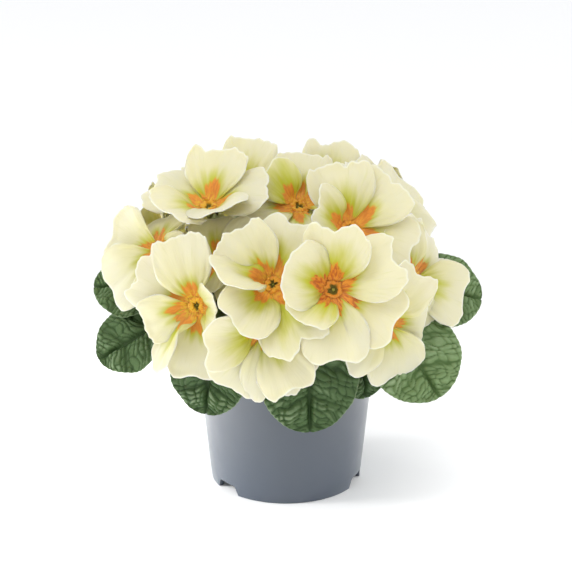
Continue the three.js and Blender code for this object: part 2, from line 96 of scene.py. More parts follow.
def gridSheet(name, across, along):
    # a flat grid; the first number of each point runs from -1 to 1 across, the second from 0 to 1 along
    deselect()
    bpy.ops.mesh.primitive_grid_add(x_subdivisions=across, y_subdivisions=along, size=2)
    sheet = bpy.context.object
    sheet.name = sheet.data.name = name
    flat = pointsOf(sheet)
    return sheet, flat[:, 0], (flat[:, 1] + 1) / 2


def sewSeam(piece):
    # joins the two sides of a grid that was wrapped round, and closes its ends
    selectOnly(piece)
    bpy.ops.object.mode_set(mode="EDIT")
    bpy.ops.mesh.select_all(action="SELECT")
    bpy.ops.mesh.remove_doubles(threshold=2e-6)
    bpy.ops.mesh.normals_make_consistent(inside=False)
    bpy.ops.object.mode_set(mode="OBJECT")


def applyModifier(piece, kind, **settings):
    selectOnly(piece)
    modifier = piece.modifiers.new(kind.title(), kind)
    for setting, value in settings.items():
        setattr(modifier, setting, value)
    bpy.ops.object.modifier_apply(modifier=modifier.name)


def joinPieces(name, pieces):
    deselect()
    for piece in pieces:
        piece.select_set(True)
    bpy.context.view_layer.objects.active = pieces[0]
    bpy.ops.object.join()
    pieces[0].name = pieces[0].data.name = name
    return pieces[0]


def finishPiece(piece, node, material):
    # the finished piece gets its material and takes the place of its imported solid
    piece.data.materials.append(material)
    for polygon in piece.data.polygons:
        polygon.use_smooth = True
    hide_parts(node)
    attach(piece, "root")


def smoothStep(value, low, high):
    # 0 below the low value, 1 above the high one and a soft step between them
    share = np.clip((value - low) / (high - low), 0, 1)
    return share * share * (3 - 2 * share)


def heading(around, above):
    # the way that points at an angle from the front towards the right, and above the horizon
    a, e = np.radians(around), np.radians(above)
    return np.stack([np.sin(a) * np.cos(e), -np.cos(a) * np.cos(e), np.sin(e) + 0 * a], axis=-1)


def nodeTree(node):
    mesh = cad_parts[node].data
    tree = kdtree.KDTree(len(mesh.vertices))
    for i, vertex in enumerate(mesh.vertices):
        tree.insert(((vertex.co - Vector((potAxis.x, potAxis.y, 0))) / millimetre), i)
    tree.balance()
    return tree


def closestFit(tree, options, pointsFor, reach, farthest=0.6):
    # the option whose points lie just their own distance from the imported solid's points
    def miss(option):
        return sum(min(abs(tree.find(point)[2] - reach), farthest) for point in pointsFor(option))
    return min(options, key=miss)


def addNode(tree, kind, sockets=None, **settings):
    node = tree.nodes.new(kind)
    for setting, value in settings.items():
        setattr(node, setting, value)
    for socket, value in (sockets or {}).items():
        if isinstance(value, bpy.types.NodeSocket):
            tree.links.new(value, node.inputs[socket])
        else:
            node.inputs[socket].default_value = value
    return node


def calc(tree, operation, *values, clamp=False):
    # one step of arithmetic in a shader
    node = addNode(tree, "ShaderNodeMath", dict(enumerate(values)), operation=operation, use_clamp=clamp)
    return node.outputs[0]


def eased(tree, value, low, high, start=0.0, end=1.0):
    # a soft step from start to end while the value goes from low to high
    sockets = {"Value": value, "From Min": low, "From Max": high, "To Min": start, "To Max": end}
    return addNode(tree, "ShaderNodeMapRange", sockets, interpolation_type="SMOOTHSTEP").outputs[0]


def blended(tree, share, first, second):
    node = addNode(tree, "ShaderNodeMix", {0: share, 6: first, 7: second}, data_type="RGBA")
    return node.outputs[2]


def attribute(tree, name):
    return addNode(tree, "ShaderNodeAttribute", attribute_name=name).outputs["Fac"]


def newMaterial(name, **sockets):
    material = bpy.data.materials.new(name)
    material.use_nodes = True
    tree = material.node_tree
    shader = tree.nodes["Principled BSDF"]
    for socket, value in sockets.items():
        shader.inputs[socket.replace("_", " ")].default_value = value
    return material, tree, shader


def newGroup(name, inputs, outputs):
    group = bpy.data.node_groups.new(name, "ShaderNodeTree")
    for way, names in (("INPUT", inputs), ("OUTPUT", outputs)):
        for socket in names:
            kind = "NodeSocketVector" if socket == "Vector" else "NodeSocketFloat"
            group.interface.new_socket(socket, in_out=way, socket_type=kind)
    return group, addNode(group, "NodeGroupInput").outputs


def makeMottleGroup():
    # soft blotches and fine grain, used by the pot, soil, leaves and stalks; Size is in millimetres
    group, entry = newGroup("mottle", ("Vector", "Size", "Detail", "Contrast"), ("Value", "Height"))
    scale = calc(group, "DIVIDE", 1000.0, entry["Size"])
    sockets = {"Vector": entry["Vector"], "Scale": scale, "Detail": entry["Detail"]}
    blotch = addNode(group, "ShaderNodeTexNoise", sockets).outputs["Fac"]
    centred = calc(group, "MULTIPLY", calc(group, "SUBTRACT", blotch, 0.5), entry["Contrast"])
    value = calc(group, "ADD", centred, 0.5, clamp=True)
    addNode(group, "NodeGroupOutput", {"Value": value, "Height": blotch})
    return group


mottleGroup = makeMottleGroup()


def mottle(tree, size, detail, contrast=1.0):
    place = addNode(tree, "ShaderNodeTexCoord").outputs["Object"]
    sockets = {"Vector": place, "Size": size, "Detail": detail, "Contrast": contrast}
    return addNode(tree, "ShaderNodeGroup", sockets, node_tree=mottleGroup).outputs


def bumped(tree, shader, height, strength, distance):
    sockets = {"Height": height, "Strength": strength, "Distance": distance * millimetre}
    bump = addNode(tree, "ShaderNodeBump", sockets)
    tree.links.new(bump.outputs[0], shader.inputs["Normal"])


# the pot: a thin cup on a foot ring with three notches, a turned-down lip and three drain holes
potShape = {
    "height": 74, "footRadius": 31, "wallTopRadius": 38.5, "rimRadius": 44.5, "lipDrop": 3.5, "wall": 1,
    "floor": 5, "footWidth": 2, "segments": 144, "edgeRound": 0.35, "ringShares": (0.02, 0.07, 0.45),
    "notchAngles": (-51, 69, 189), "notchWidth": 25, "notchHeight": 4, "notchTaper": 0.7, "notchRound": 0.8,
    "notchInside": 6, "notchOutside": 3, "roundSteps": 3, "edgeAngle": 40, "shadeAngle": 38,
    "drainRadius": 3.5, "drainCircle": 20, "drainSides": 32,
    "colour": (0.02, 0.034, 0.057, 1), "cloudLift": 1.12, "cloudSize": 30, "roughness": 0.38,
    "coatRoughness": 0.35, "coatIOR": 1.65, "wearSize": 9, "grainSize": 0.7,
}


def wallRadius(z):
    p = potShape
    return p["footRadius"] + (p["wallTopRadius"] - p["footRadius"]) * z / p["height"]


def turnedPiece(name, profile, segments):
    # a profile of (radius, height) turned round the upright axis
    points = [(radius * millimetre, 0, height * millimetre) for radius, height in profile]
    piece = newPiece(name, points, [(i, i + 1) for i in range(len(profile) - 1)], [])
    applyModifier(piece, "SCREW", steps=segments, render_steps=segments, use_merge_vertices=True,
                  merge_threshold=1e-6)
    sewSeam(piece)
    return piece


def cutAway(piece, tool):
    applyModifier(piece, "BOOLEAN", operation="DIFFERENCE", object=tool, solver="EXACT")
    bpy.data.objects.remove(tool)


def cutNotch(pot, angle):
    # a sloping, soft-edged wedge is taken out of the foot, from just inside it to just outside
    p = potShape
    half = p["footRadius"] * math.sin(math.radians(p["notchWidth"] / 2))
    deselect()
    bpy.ops.mesh.primitive_cube_add(size=1)
    wedge = bpy.context.object
    corners = pointsOf(wedge)
    across = np.where(corners[:, 2] > 0, half * p["notchTaper"], half) * np.sign(corners[:, 0])
    up = np.where(corners[:, 2] > 0, p["notchHeight"], -1)
    out = np.where(corners[:, 1] > 0, p["notchInside"], -p["notchOutside"]) - p["footRadius"]
    turn = Matrix.Rotation(math.radians(angle), 3, "Z")
    points = [turn @ Vector(point) * millimetre for point in np.stack([across, out, up], -1)]
    wedge.data.vertices.foreach_set("co", np.array(points).ravel())
    applyModifier(wedge, "BEVEL", width=p["notchRound"] * millimetre, segments=p["roundSteps"],
                  affect="EDGES")
    cutAway(pot, wedge)


def cutDrain(pot, angle):
    p = potShape
    place = (Vector(heading(angle, 0)) * p["drainCircle"] + Vector((0, 0, p["floor"]))) * millimetre
    deselect()
    bpy.ops.mesh.primitive_cylinder_add(vertices=p["drainSides"], radius=p["drainRadius"] * millimetre,
                                        depth=4 * p["wall"] * millimetre, location=place)
    cutAway(pot, bpy.context.object)


def makePotMaterial():
    p = potShape
    material, tree, shader = newMaterial("satinPlastic", Roughness=p["roughness"], IOR=1.5, Coat_Weight=1.0,
                                         Coat_Roughness=p["coatRoughness"], Coat_IOR=p["coatIOR"])
    cloud = mottle(tree, p["cloudSize"], 2.0, 0.8)["Value"]
    paler = tuple(c * p["cloudLift"] for c in p["colour"][:3]) + (1,)
    tree.links.new(blended(tree, cloud, p["colour"], paler), shader.inputs["Base Color"])
    worn = mottle(tree, p["wearSize"], 4.0, 1.4)["Value"]
    tree.links.new(eased(tree, worn, 0.2, 0.8, p["roughness"] - 0.05, p["roughness"] + 0.08),
                   shader.inputs["Roughness"])
    bumped(tree, shader, mottle(tree, p["grainSize"], 2.0)["Height"], 0.12, 0.05)
    return material


def makePot():
    p = potShape
    inner = lambda z: wallRadius(z) - p["wall"]
    foot, underRim, lip = wallRadius(0), p["height"] - 2 * p["wall"], p["height"] - p["lipDrop"]
    # rings just above the notches keep the tall wall's shading even
    rings = [p["notchHeight"] + share * underRim for share in p["ringShares"]] + [underRim]
    # from the middle of the underside out, up the wall, over the lip and down inside
    profile = [
        (0, p["floor"] - p["wall"]), (foot - p["footWidth"], p["floor"] - p["wall"]),
        (foot - p["footWidth"], 0), (foot, 0),
        *((wallRadius(z), z) for z in rings), (p["rimRadius"] - p["wall"], underRim),
        (p["rimRadius"] - p["wall"], lip), (p["rimRadius"], lip), (p["rimRadius"], p["height"]),
        (inner(p["height"]), p["height"]), (inner(p["floor"]), p["floor"]), (0, p["floor"]),
    ]
    pot = turnedPiece("nurseryPot", profile, p["segments"])
    for angle in p["notchAngles"]:
        cutNotch(pot, angle)
        cutDrain(pot, angle)
    applyModifier(pot, "BEVEL", width=p["edgeRound"] * millimetre, segments=p["roundSteps"],
                  limit_method="ANGLE", angle_limit=math.radians(p["edgeAngle"]))
    pot.data.transform(Matrix.Translation((potAxis.x, potAxis.y, 0)))
    finishPiece(pot, "pot", makePotMaterial())
    selectOnly(pot)
    bpy.ops.object.shade_smooth_by_angle(angle=math.radians(p["shadeAngle"]))


makePot()
print("pot made")


# the soil: a crumbly crowned surface, a plain side and bottom hidden in the pot, and chips of grit
soilShape = {
    "depthBelowRim": 6.5, "lump": 0.9, "crown": 2, "crownReachSquared": 500, "gap": 0.35,
    "crumb": 0.9, "crumbFineness": 0.45, "clodFineness": 0.55,
    "around": 160, "along": 110, "topShare": 0.86, "edgeShare": 0.9, "wallShare": 0.95,
    "chips": 90, "chipSize": 1.1, "chipFlatness": 0.6, "chipSeed": 5,
    "dark": (0.012, 0.007, 0.004, 1), "light": (0.06, 0.035, 0.02, 1), "cloudSize": 2.5, "grainSize": 0.6,
}
soilTop = potShape["height"] - soilShape["depthBelowRim"]


def soilReach(z):
    return wallRadius(z) - potShape["wall"] - soilShape["gap"]


def soilHeight(x, y):
    s = soilShape
    lumps = np.sin(x * 0.61 + y * 0.23) + np.sin(y * 0.53 - x * 0.31 + 1.7) + np.sin((x + y) * 0.9)
    return soilTop + s["lump"] * lumps / 2 + s["crown"] * np.exp(-(x * x + y * y) / s["crownReachSquared"])


def makeChip(dice):
    s = soilShape
    turn, away = dice.uniform(0, 2 * math.pi), soilReach(soilTop) * math.sqrt(dice.uniform(0.02, 0.93))
    x, y = away * math.cos(turn), away * math.sin(turn)
    deselect()
    bpy.ops.mesh.primitive_ico_sphere_add(subdivisions=1, radius=1)
    chip = bpy.context.object
    size = np.array([dice.uniform(0.5, 1.3) * s["chipSize"] for _ in range(3)])
    size[2] *= s["chipFlatness"]
    placePoints(chip, pointsOf(chip) * size + np.array([x, y, float(soilHeight(x, y)) + 0.1]))
    return chip


def makeSoil():
    s = soilShape
    bottom = potShape["floor"] + s["gap"]
    top, edge, side = s["topShare"], s["edgeShare"], s["wallShare"]
    soil, q, u = gridSheet("pottingSoil", s["around"], s["along"])
    angle = q * np.pi
    # the rows run over the surface, down the side and under the bottom to its middle
    under = np.where(u < side, soilReach(bottom), soilReach(bottom) * (1 - u) / (1 - side))
    radius = np.where(u < top, soilReach(soilTop) * u / top, under)
    radius = np.where((u >= top) & (u < edge), soilReach(soilTop) - 0.4, radius)
    x, y = radius * np.cos(angle), radius * np.sin(angle)
    crumbs = np.array([noise.fractal(Vector((a, b, 0)) * s["crumbFineness"], 0.9, 2.1, 4)
                       for a, b in zip(x, y)])
    clods = np.array([noise.voronoi(Vector((a, b, 3)) * s["clodFineness"])[0][0] for a, b in zip(x, y)])
    settled = 1 - smoothStep(u, 0.8, top)
    rough = s["crumb"] * (crumbs * 0.7 - clods * 1.3 + 0.3) * settled
    z = np.where(u < edge, soilHeight(x, y) + rough, bottom)
    placePoints(soil, np.stack([x, y, z], -1))
    sewSeam(soil)
    dice = random.Random(s["chipSeed"])
    joinPieces("pottingSoil", [soil] + [makeChip(dice) for _ in range(s["chips"])])
    material, tree, shader = newMaterial("pottingSoil", Roughness=0.95, Specular_IOR_Level=0.2)
    colour = blended(tree, mottle(tree, s["cloudSize"], 6.0, 2.2)["Value"], s["dark"], s["light"])
    tree.links.new(colour, shader.inputs["Base Color"])
    bumped(tree, shader, mottle(tree, s["grainSize"], 5.0)["Height"], 0.8, 0.5)
    finishPiece(soil, "soil", material)


makeSoil()
print("soil made")


# the leaves: each arches out over the rim, with a channelled midrib and rows of small pillows
leafShape = {
    "petioleWidth": 2.5, "petioleThickness": 2.4, "thickness": 0.8, "rootDepth": 6.5, "bladeStart": 0.26,
    "sweep": 0.42, "channel": 1.3, "quilt": 0.75, "steps": 40, "above": 88, "below": 26, "along": 156,
    "rings": ((13.8, 1), (19.5, 0)),
    "rows": (0, 0.13, 0.25, 0.37, 0.48, 0.58, 0.67, 0.75, 0.83, 0.9, 0.96, 0.995),
    "pillowLong": 3.9, "rowsPerVein": 5, "wander": 0.2, "puff": 1.3, "valleySharpness": 2.2, "rowShare": 0.22,
    "ribWidth": 1.0, "spine": 1.0, "sideRib": 0.5, "crinkle": 0.4, "teeth": 0.2, "toothPace": 1.25,
    "packedThickness": 0.9, "tilts": range(-12, 13, 2), "swings": range(-9, 10, 3),
    "fresh": (0.45, 0.25, 0.0, 0.05, 0.1, 0.9, 0.8), "otherYoungAndLit": 0.3,  # how much of the paler green a leaf takes: partly its own younger tint, partly painted light on the brighter-lit leaves
    "patchSize": 13, "grainSize": 1.2, "skinSize": 0.8,
    # the darkest greens are painted shade in the valleys between the pillows; the palest green is a painted
    # highlight on the pillow tops and also the leaf's paler edge
    "dark": (0.024, 0.052, 0.014, 1), "middle": (0.072, 0.128, 0.046, 1), "pale": (0.32, 0.42, 0.24, 1),
    "youngAndLitGreen": (0.21, 0.31, 0.135, 1), "youngAndLitValleyShade": (0.085, 0.15, 0.045, 1),
    "under": (0.10, 0.15, 0.055, 1), "petiole": (0.25, 0.3, 0.11, 1), "roughness": 0.42,
}
leafTable = [  # way it grows, ring, length, half width, rise, fall, where it turns, over how much, roll
    (-92, 0, 76, 18, 16, 2, 0.5, 0.26, -32),
    (-69, 1, 73, 16, 6, 30, 0.5, 0.24, -38),
    (-34, 1, 76, 18, 19, 84, 0.53, 0.18, -6),
    (10, 0, 90, 20, 17, 86, 0.51, 0.16, 0),
    (38, 1, 62, 14, 16, 84, 0.56, 0.17, 0),
    (55, 0, 85, 20, 10, 52, 0.53, 0.2, 36),
    (95, 0, 80, 19, 19, 16, 0.5, 0.26, 40),
    (122, 1, 72, 16, 15, 56, 0.58, 0.24, 0),
    (151, 0, 74, 15, 19, 60, 0.56, 0.24, 0),
    (179, 1, 72, 16, 18, 70, 0.56, 0.22, 0),
    (-151, 0, 74, 16, 19, 60, 0.56, 0.24, 0),
    (-122, 1, 70, 16, 17, 50, 0.58, 0.24, 0),
]


def midrib(leaf, tilt, swing):
    # the way the leaf's middle runs: up out of the soil, outwards and down over the rim
    s = leafShape
    away, ring, length, _, rise, fall, turn, span, _ = leaf
    radius, height = s["rings"][ring]
    start = heading(away, 0) * radius
    share = np.arange(s["steps"] + 1) / s["steps"]
    upright = (75 - rise) * (1 - smoothStep(share, 0.12, 0.24))
    arch = rise - (rise + fall) * smoothStep(share, turn - span, turn + span)
    around = away + swing * smoothStep(share, 0.14, 0.5)
    above = upright + arch + tilt * smoothStep(share, 0.14, 0.3)
    steps = heading(around, above) * length / s["steps"]
    root = np.array([start[0], start[1], soilTop + height - s["rootDepth"]])
    return np.vstack([root, root + np.cumsum(steps, 0)]), around, above


def leafHalf(leaf, share):
    # the leaf's half width along its length
    s = leafShape
    blade = np.clip((share - s["bladeStart"]) / (1 - s["bladeStart"]), 0, 1)
    swell = np.maximum(np.sin(np.pi * blade ** 1.05), 0) ** 0.7
    return s["petioleWidth"] * (1 - blade ** 6) + (leaf[3] - s["petioleWidth"]) * swell


def leafSurface(leaf, line, share, q, wave, extra=0.0):
    # the blade's middle surface; wave runs from -1 over the side veins to 1 between them
    s = leafShape
    points, around, above = line
    length, roll = leaf[2], leaf[8]
    half = leafHalf(leaf, share)
    along = share * length + s["sweep"] * np.abs(q) * half * smoothStep(share, 0.2, 0.4)
    place = np.minimum(along / length, 1) * s["steps"]
    i = np.minimum(np.floor(place).astype(int), s["steps"] - 1)
    ahead = heading(around[i], above[i])
    level = np.stack([np.cos(np.radians(around[i])), np.sin(np.radians(around[i])), 0 * place], -1)
    turned = np.radians(roll * smoothStep(share, 0.4, 0.8))[:, None]
    side = level * np.cos(turned) + np.cross(ahead, level) * np.sin(turned)
    lift = np.cross(ahead, side)
    puffed = smoothStep(share, 0.36, 0.62) * (1 - smoothStep(share, 0.93, 1))
    relief = s["quilt"] * wave * np.sqrt(np.maximum(np.sin(np.pi * np.minimum(1, np.abs(q) * 1.2)), 0))
    channel = s["channel"] * (0.25 - 1.25 * np.exp(-(q / 0.1) ** 2))
    spot = points[i] + (points[i + 1] - points[i]) * (place - i)[:, None]
    return (spot + side * (q * half)[:, None] + ahead * np.maximum(0, along - length)[:, None]
            + lift * (puffed * (relief + channel) + extra)[:, None]), lift


def leafFit(leaf, node):
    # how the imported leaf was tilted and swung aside, found from four points of three side veins
    s = leafShape
    q = np.array([-1, -2 / 3, 2 / 3, 1])
    shares = [np.full(4, s["rows"][row]) for row in (10, 8, 6)]

    def tried(option):
        line = midrib(leaf, *option)
        return np.vstack([leafSurface(leaf, line, share, q, np.full(4, -1.0))[0] for share in shares])
    options = list(itertools.product(s["tilts"], s["swings"]))
    return closestFit(nodeTree(node), options, tried, s["packedThickness"] / 2)


def pillows(number, share, out, rank, length):
    # little pillows in staggered rows between the side veins, and how they vary
    s = leafShape
    spots = [Vector((a, b, number)) * s["wander"] for a, b in zip(share * length, out)]
    mirrored = [Vector((b, a, -number)) * s["wander"] for a, b in zip(share * length, out)]
    row = s["rowsPerVein"] * rank / 2 + np.array([noise.noise(spot) for spot in spots])
    step = np.floor(row)
    column = np.abs(out) / s["pillowLong"] + np.array([noise.noise(spot) for spot in mirrored])
    column = column + 0.5 * np.mod(step, 2) + 0.25 * np.sin(step * 2.6 + number)
    sharp = s["valleySharpness"]
    ridge, bead = (1 - (1 - np.abs(np.sin(np.pi * turns))) ** sharp for turns in (row, column))
    uneven = 0.8 + 0.2 * np.sin(7.1 * step + number)
    return ridge * (s["rowShare"] + (1 - s["rowShare"]) * bead) * uneven


def makeLeaf(number, leaf, material):
    s = leafShape
    name = f"leaf_{number:02d}"
    length = leaf[2]
    line = midrib(leaf, *leafFit(leaf, name))
    # one grid wraps round the leaf: most of its columns lie above and the others below
    columns = s["above"] + s["below"]
    piece, around, rows = gridSheet(f"quiltedLeaf_{number:02d}", columns, s["along"])
    share = np.interp(rows, (0, 0.14, 1), (0, 0.28, 0.999))  # most rows go to the blade
    turn = (around + 1) / 2 * columns
    onTop = turn <= s["above"] - 0.5
    q = np.where(onTop, 2 * turn / s["above"] - 1, 1 - 2 * (turn - s["above"]) / s["below"])
    q = np.clip(0.3 * np.sin(q * np.pi / 2) + 0.7 * q, -1, 1)
    half = leafHalf(leaf, share)
    rank = np.interp(share, s["rows"], np.arange(12))
    bladeShare = smoothStep(share, 0.3, 0.42)
    veined = np.mod(np.rint(rank), 2) < 1
    sideVein = np.exp(-((np.mod(rank + 0.5, 1) - 0.5) * 6) ** 2) * veined * (1 - 0.4 * np.abs(q))
    rib = np.exp(-(q * half / s["ribWidth"]) ** 2)
    crest = pillows(number, share, q * half, rank, length) * (1 - 0.85 * sideVein) * (1 - rib)
    inner = smoothStep(1 - np.abs(q), 0, 0.08)
    puff = s["puff"] * (crest - 0.5) * bladeShare * inner
    crinkle = s["crinkle"] * np.sin(share * length * 0.5 + number)
    crinkle = crinkle * smoothStep(np.abs(q), 0.7, 1) * bladeShare
    teeth = np.abs(np.sin(share * length * s["toothPace"] + 0.6 * np.sin(share * 31 + number))) - 0.6
    outer = q * (1 + s["teeth"] * teeth * np.abs(q) ** 5 * bladeShare / np.maximum(half, 1))
    # the underside is coarser, so it keeps below the valleys
    puff = np.where(onTop, puff, 0.3 * puff - 0.5 * bladeShare * inner)
    middle, lift = leafSurface(leaf, line, share, outer, -np.cos(np.pi * rank), puff + crinkle)
    petiole = 1 - smoothStep(share, 0.2, 0.5)
    body = s["thickness"] + (s["petioleThickness"] - s["thickness"]) * petiole
    tipShare = 0.12 + 0.88 * (1 - smoothStep(share, 0.985, 0.999))
    body = body * np.sqrt(np.maximum(1 - np.abs(q) ** 8, 0.0)) * tipShare
    spine = s["spine"] * rib * (1 - petiole) * (1 - smoothStep(share, 0.7, 0.97))
    spine = spine + s["sideRib"] * sideVein * bladeShare * (1 - np.abs(q))
    placePoints(piece, middle + lift * np.where(onTop, 0.5 * body, -0.5 * body - spine)[:, None])
    stemColour = np.clip(petiole + 0.3 * rib ** 3 * (1 - smoothStep(share, 0.5, 0.9)), 0, 1)
    setAttributes(
        piece, crest=crest * bladeShare, under=(~onTop).astype(float), petiole=stemColour,
        fresh=dict(enumerate(s["fresh"], 1)).get(number, s["otherYoungAndLit"]),
        edge=smoothStep(np.abs(q), 0.975, 1) * bladeShare)
    sewSeam(piece)
    finishPiece(piece, name, material)


def makeLeafMaterial():
    s = leafShape
    material, tree, shader = newMaterial(
        "quiltedLeaf", Roughness=s["roughness"], IOR=1.4, Specular_IOR_Level=0.25, Subsurface_Weight=0.04,
        Subsurface_Scale=1.0 * millimetre)
    crest = attribute(tree, "crest")
    patch = mottle(tree, s["patchSize"], 3.0, 1.8)["Value"]
    grain = mottle(tree, s["grainSize"], 3.0, 1.8)["Value"]
    # per leaf, the paler green is partly its own younger tint and partly painted light on the brighter-lit
    # leaves
    flesh = blended(tree, attribute(tree, "fresh"), s["middle"], s["youngAndLitGreen"])
    valleyShade = blended(tree, attribute(tree, "fresh"), s["dark"], s["youngAndLitValleyShade"])
    # painted shade: the valleys between the pillows are painted darker than the pillows
    green = blended(tree, eased(tree, crest, 0.0, 0.55), valleyShade, flesh)
    # painted highlight: the tops of the pillows are painted paler, more so in some patches
    crestHighlight = eased(tree, patch, 0.1, 0.9, 0.1, 0.7)
    crestHighlight = calc(tree, "MULTIPLY", eased(tree, crest, 0.6, 1.0), crestHighlight, clamp=True)
    green = blended(tree, crestHighlight, green, s["pale"])
    green = blended(tree, calc(tree, "MULTIPLY", grain, 0.25), green, valleyShade)
    under = blended(tree, calc(tree, "MULTIPLY", crest, 0.5), s["under"], s["middle"])
    colour = blended(tree, attribute(tree, "under"), green, under)
    colour = blended(tree, calc(tree, "MULTIPLY", attribute(tree, "edge"), 0.5), colour, s["pale"])
    colour = blended(tree, calc(tree, "MULTIPLY", attribute(tree, "petiole"), 0.55), colour, s["petiole"])
    tree.links.new(colour, shader.inputs["Base Color"])
    tree.links.new(eased(tree, grain, 0.2, 0.8, s["roughness"] - 0.08, s["roughness"] + 0.14),
                   shader.inputs["Roughness"])
    bumped(tree, shader, mottle(tree, s["skinSize"], 3.0)["Height"], 0.5, 0.35)
    return material


leafMaterial = makeLeafMaterial()
for number, leaf in enumerate(leafTable, 1):
    makeLeaf(number, leaf, leafMaterial)
print("leaves made")


# the blooms: five or six petals round a tube, each with its part of the orange star
bloomShape = {
    "start": 3, "claw": 0.21, "side": 0.52, "roundness": 0.5, "notch": 0.1, "notchWidth": 0.3, "lap": 1.3,
    "spoon": 1.2, "swell": 1.2, "curl": 2.4, "thickness": 0.34, "across": 32, "along": 24, "bend": 3.6,
    "ruffle": 0.75, "frill": 0.38, "wave": 0.45, "ripple": 0.16, "crease": 0.5, "roughness": (0.4, 1.9),
    "tipCurl": (-1.1, 1.3), "nickDepth": (0.0, 0.065), "nickWidth": (0.06, 0.12), "foldedTip": 0.1,
    "packedThickness": 0.65, "packedClaw": 0.05,
    "sizes": (1, 0.86, 0.72, 0.6, 0.5), "bendStep": 6, "bendMost": 54,
    "eyeSides": 50, "tubeProfile": (
        (0, -15), (1.5, -15), (1.7, -10), (1.9, -4), (2.4, -1.9), (3.3, -0.95), (4.3, -0.62), (4.8, -0.4),
        (4.3, -0.14), (3.65, 0.12), (3.05, 0.36), (2.5, 0.5), (2.05, 0.38), (1.75, 0.1), (1.5, -0.4),
        (1.2, -0.95), (0.8, -1.35), (0, -1.5)),
    "lipRadius": 2.7, "lipWidth": 0.7, "lipFolds": 0.16, "lipLumps": 1.3, "stigmaSize": (0.5, 0.5, 0.4),
    # the yellow-green is the halo round the star and, where it reaches far, painted shade
    "ivory": (0.73, 0.68, 0.475, 1), "cream": (0.70, 0.65, 0.365, 1), "halo": (0.46, 0.47, 0.008, 1),
    "rimWhite": (0.82, 0.81, 0.70, 1), "back": (0.70, 0.665, 0.44, 1),
    "orange": (0.76, 0.27, 0.03, 1), "rust": (0.52, 0.13, 0.022, 1), "gold": (0.80, 0.49, 0.03, 1),
    # the throat colour is olive with painted shade, laid on more fully deeper into the hole
    "shadedThroat": (0.15, 0.12, 0.01, 1), "tube": (0.55, 0.55, 0.2, 1), "stigma": (0.3, 0.3, 0.05, 1),
}
eyeTable = {  # bloom: how wide its throat is, how golden and how rusty its star; 0 stands for the others
    0: (0.95, 0.6, 0.45), 1: (1.3, 0.12, 1.0), 2: (0.85, 0.55, 0.5), 3: (0.8, 1.0, 0.3),
    5: (0.9, 0.8, 0.35), 6: (0.9, 0.4, 0.4), 8: (0.8, 0.9, 0.7), 9: (0.9, 0.6, 0.4), 10: (1.0, 0.4, 0.7),
}
# bloom and petal: how far the yellow-green reaches beyond the star, where it reaches far; this far
# yellow-green is painted shade, the yellow that shaded folds take on
shadedYellowPetals = {
    (1, 85): 15, (2, -62): 24, (2, 72): 11, (3, 241): 20, (4, 176): 18, (6, 98): 13, (9, 138): 20,
}
shortPetals = {(10, 122): 0.2}  # bloom and petal: the share that is kept off its tip, clear of bloom 5
fifth = 72  # degrees from petal to petal where there are five
even = lambda turn, lift: [(turn + i * fifth, lift) for i in range(5)]
# where a bloom is, which way it faces, its reach, half width and star's reach, and its petals: turn
# and lift, and for some twist and share of the reach
bloomTable = [
    ((18, -62, 105), (-4, 28), 30, 0.44, 12.0,
     [(85, 46), (26, 18), (-28, 2), (-86, 2), (162, 60), (228, 48, 0, 0.75)]),
    ((-5, -54, 104), (-4, 20), 28, 0.44, 11.0,
     [(128, 14), (72, 6), (163, 40, 76), (230, 48), (-62, 26, 0, 1.14)]),
    ((-35, -45, 92), (-16, 12), 31, 0.38, 11.5,
     [(106, 16), (162, -2), (204, 6, 0, 0.8), (241, 14, 60), (272, 4), (8, 66, 0, 0.85)]),
    ((-9, -57, 86), (-2, -8), 29, 0.42, 9, [(240, 14), (282, 20), (303, -4), (328, 8), (176, 58)]),
    ((-31, -10, 121), (-16, 66), 28, 0.46, 11.5, [(88, 32), (166, 14), (14, 28), (-52, 46), (-124, 44)]),
    ((25, -26, 117), (8, 46), 29, 0.46, 11.5,
     [(164, 58, 0, 0.85), (98, 26), (40, 20), (-26, 12), (-98, 20)]),
    ((39, -45, 85), (34, 2), 26, 0.5, 9.5, [(-80, 8), (-16, 4), (56, 6), (128, 6), (200, 10)]),
    ((50, -20, 93), (54, 18), 27, 0.5, 11.0, [(28, 4), (-40, 6), (-110, 10), (100, 12), (172, 16)]),
    ((5, -4, 119), (2, 58), 26, 0.46, 11.0, [(82, 22), (138, 44), (200, 22), (-90, 22), (14, 24)]),
    ((-50, -24, 107), (-40, 28), 29, 0.46, 10, [(122, -4), (178, 2), (230, 8), (8, 50, 0, 0.6), (-64, 12)]),
    ((40, 8, 112), (62, 44), 27, 0.5, 10, even(90, 12)),
    ((-19, 19, 117), (-24, 74), 27, 0.46, 9.5, [(88, 48), (160, 24), (16, 28), (-54, 60), (-126, 56)]),
    ((18, 17, 117), (24, 72), 26, 0.46, 9, [(70, 46), (142, 30), (-2, 24), (-74, 62), (-146, 60)]),
    ((-52, 14, 100), (-104, 20), 25, 0.5, 9.5, even(-90, 12)),
    ((51, 31, 86), (124, 0), 24, 0.5, 9, [(-90, 8), (-18, 8), (54, 4), (126, -20), (198, 10, 0, 0.6)]),
    ((-38, 42, 105), (-138, 34), 25, 0.5, 10, [(90, 0), (162, 14), (234, 32), (306, 18), (18, 4)]),
    ((-1, 50, 102), (180, 34), 27, 0.5, 11, even(90, 14)),
    ((36, 47, 106), (146, 32), 25, 0.5, 10, [(90, 0), (162, 4), (234, 18), (306, 32), (18, 14)]),
    ((-28, 58, 84), (-154, -2), 25, 0.5, 9.5, [(-90, 8), (-18, 2), (54, -12), (126, 0), (198, 8)]),
    ((27, 59, 84), (158, -2), 25, 0.5, 9.5, [(-90, 8), (-18, 8), (54, 0), (126, -12), (198, 2)]),
    ((-27, -26, 103), (-8, 44), 23, 0.5, 9, even(-42, 18)),
]


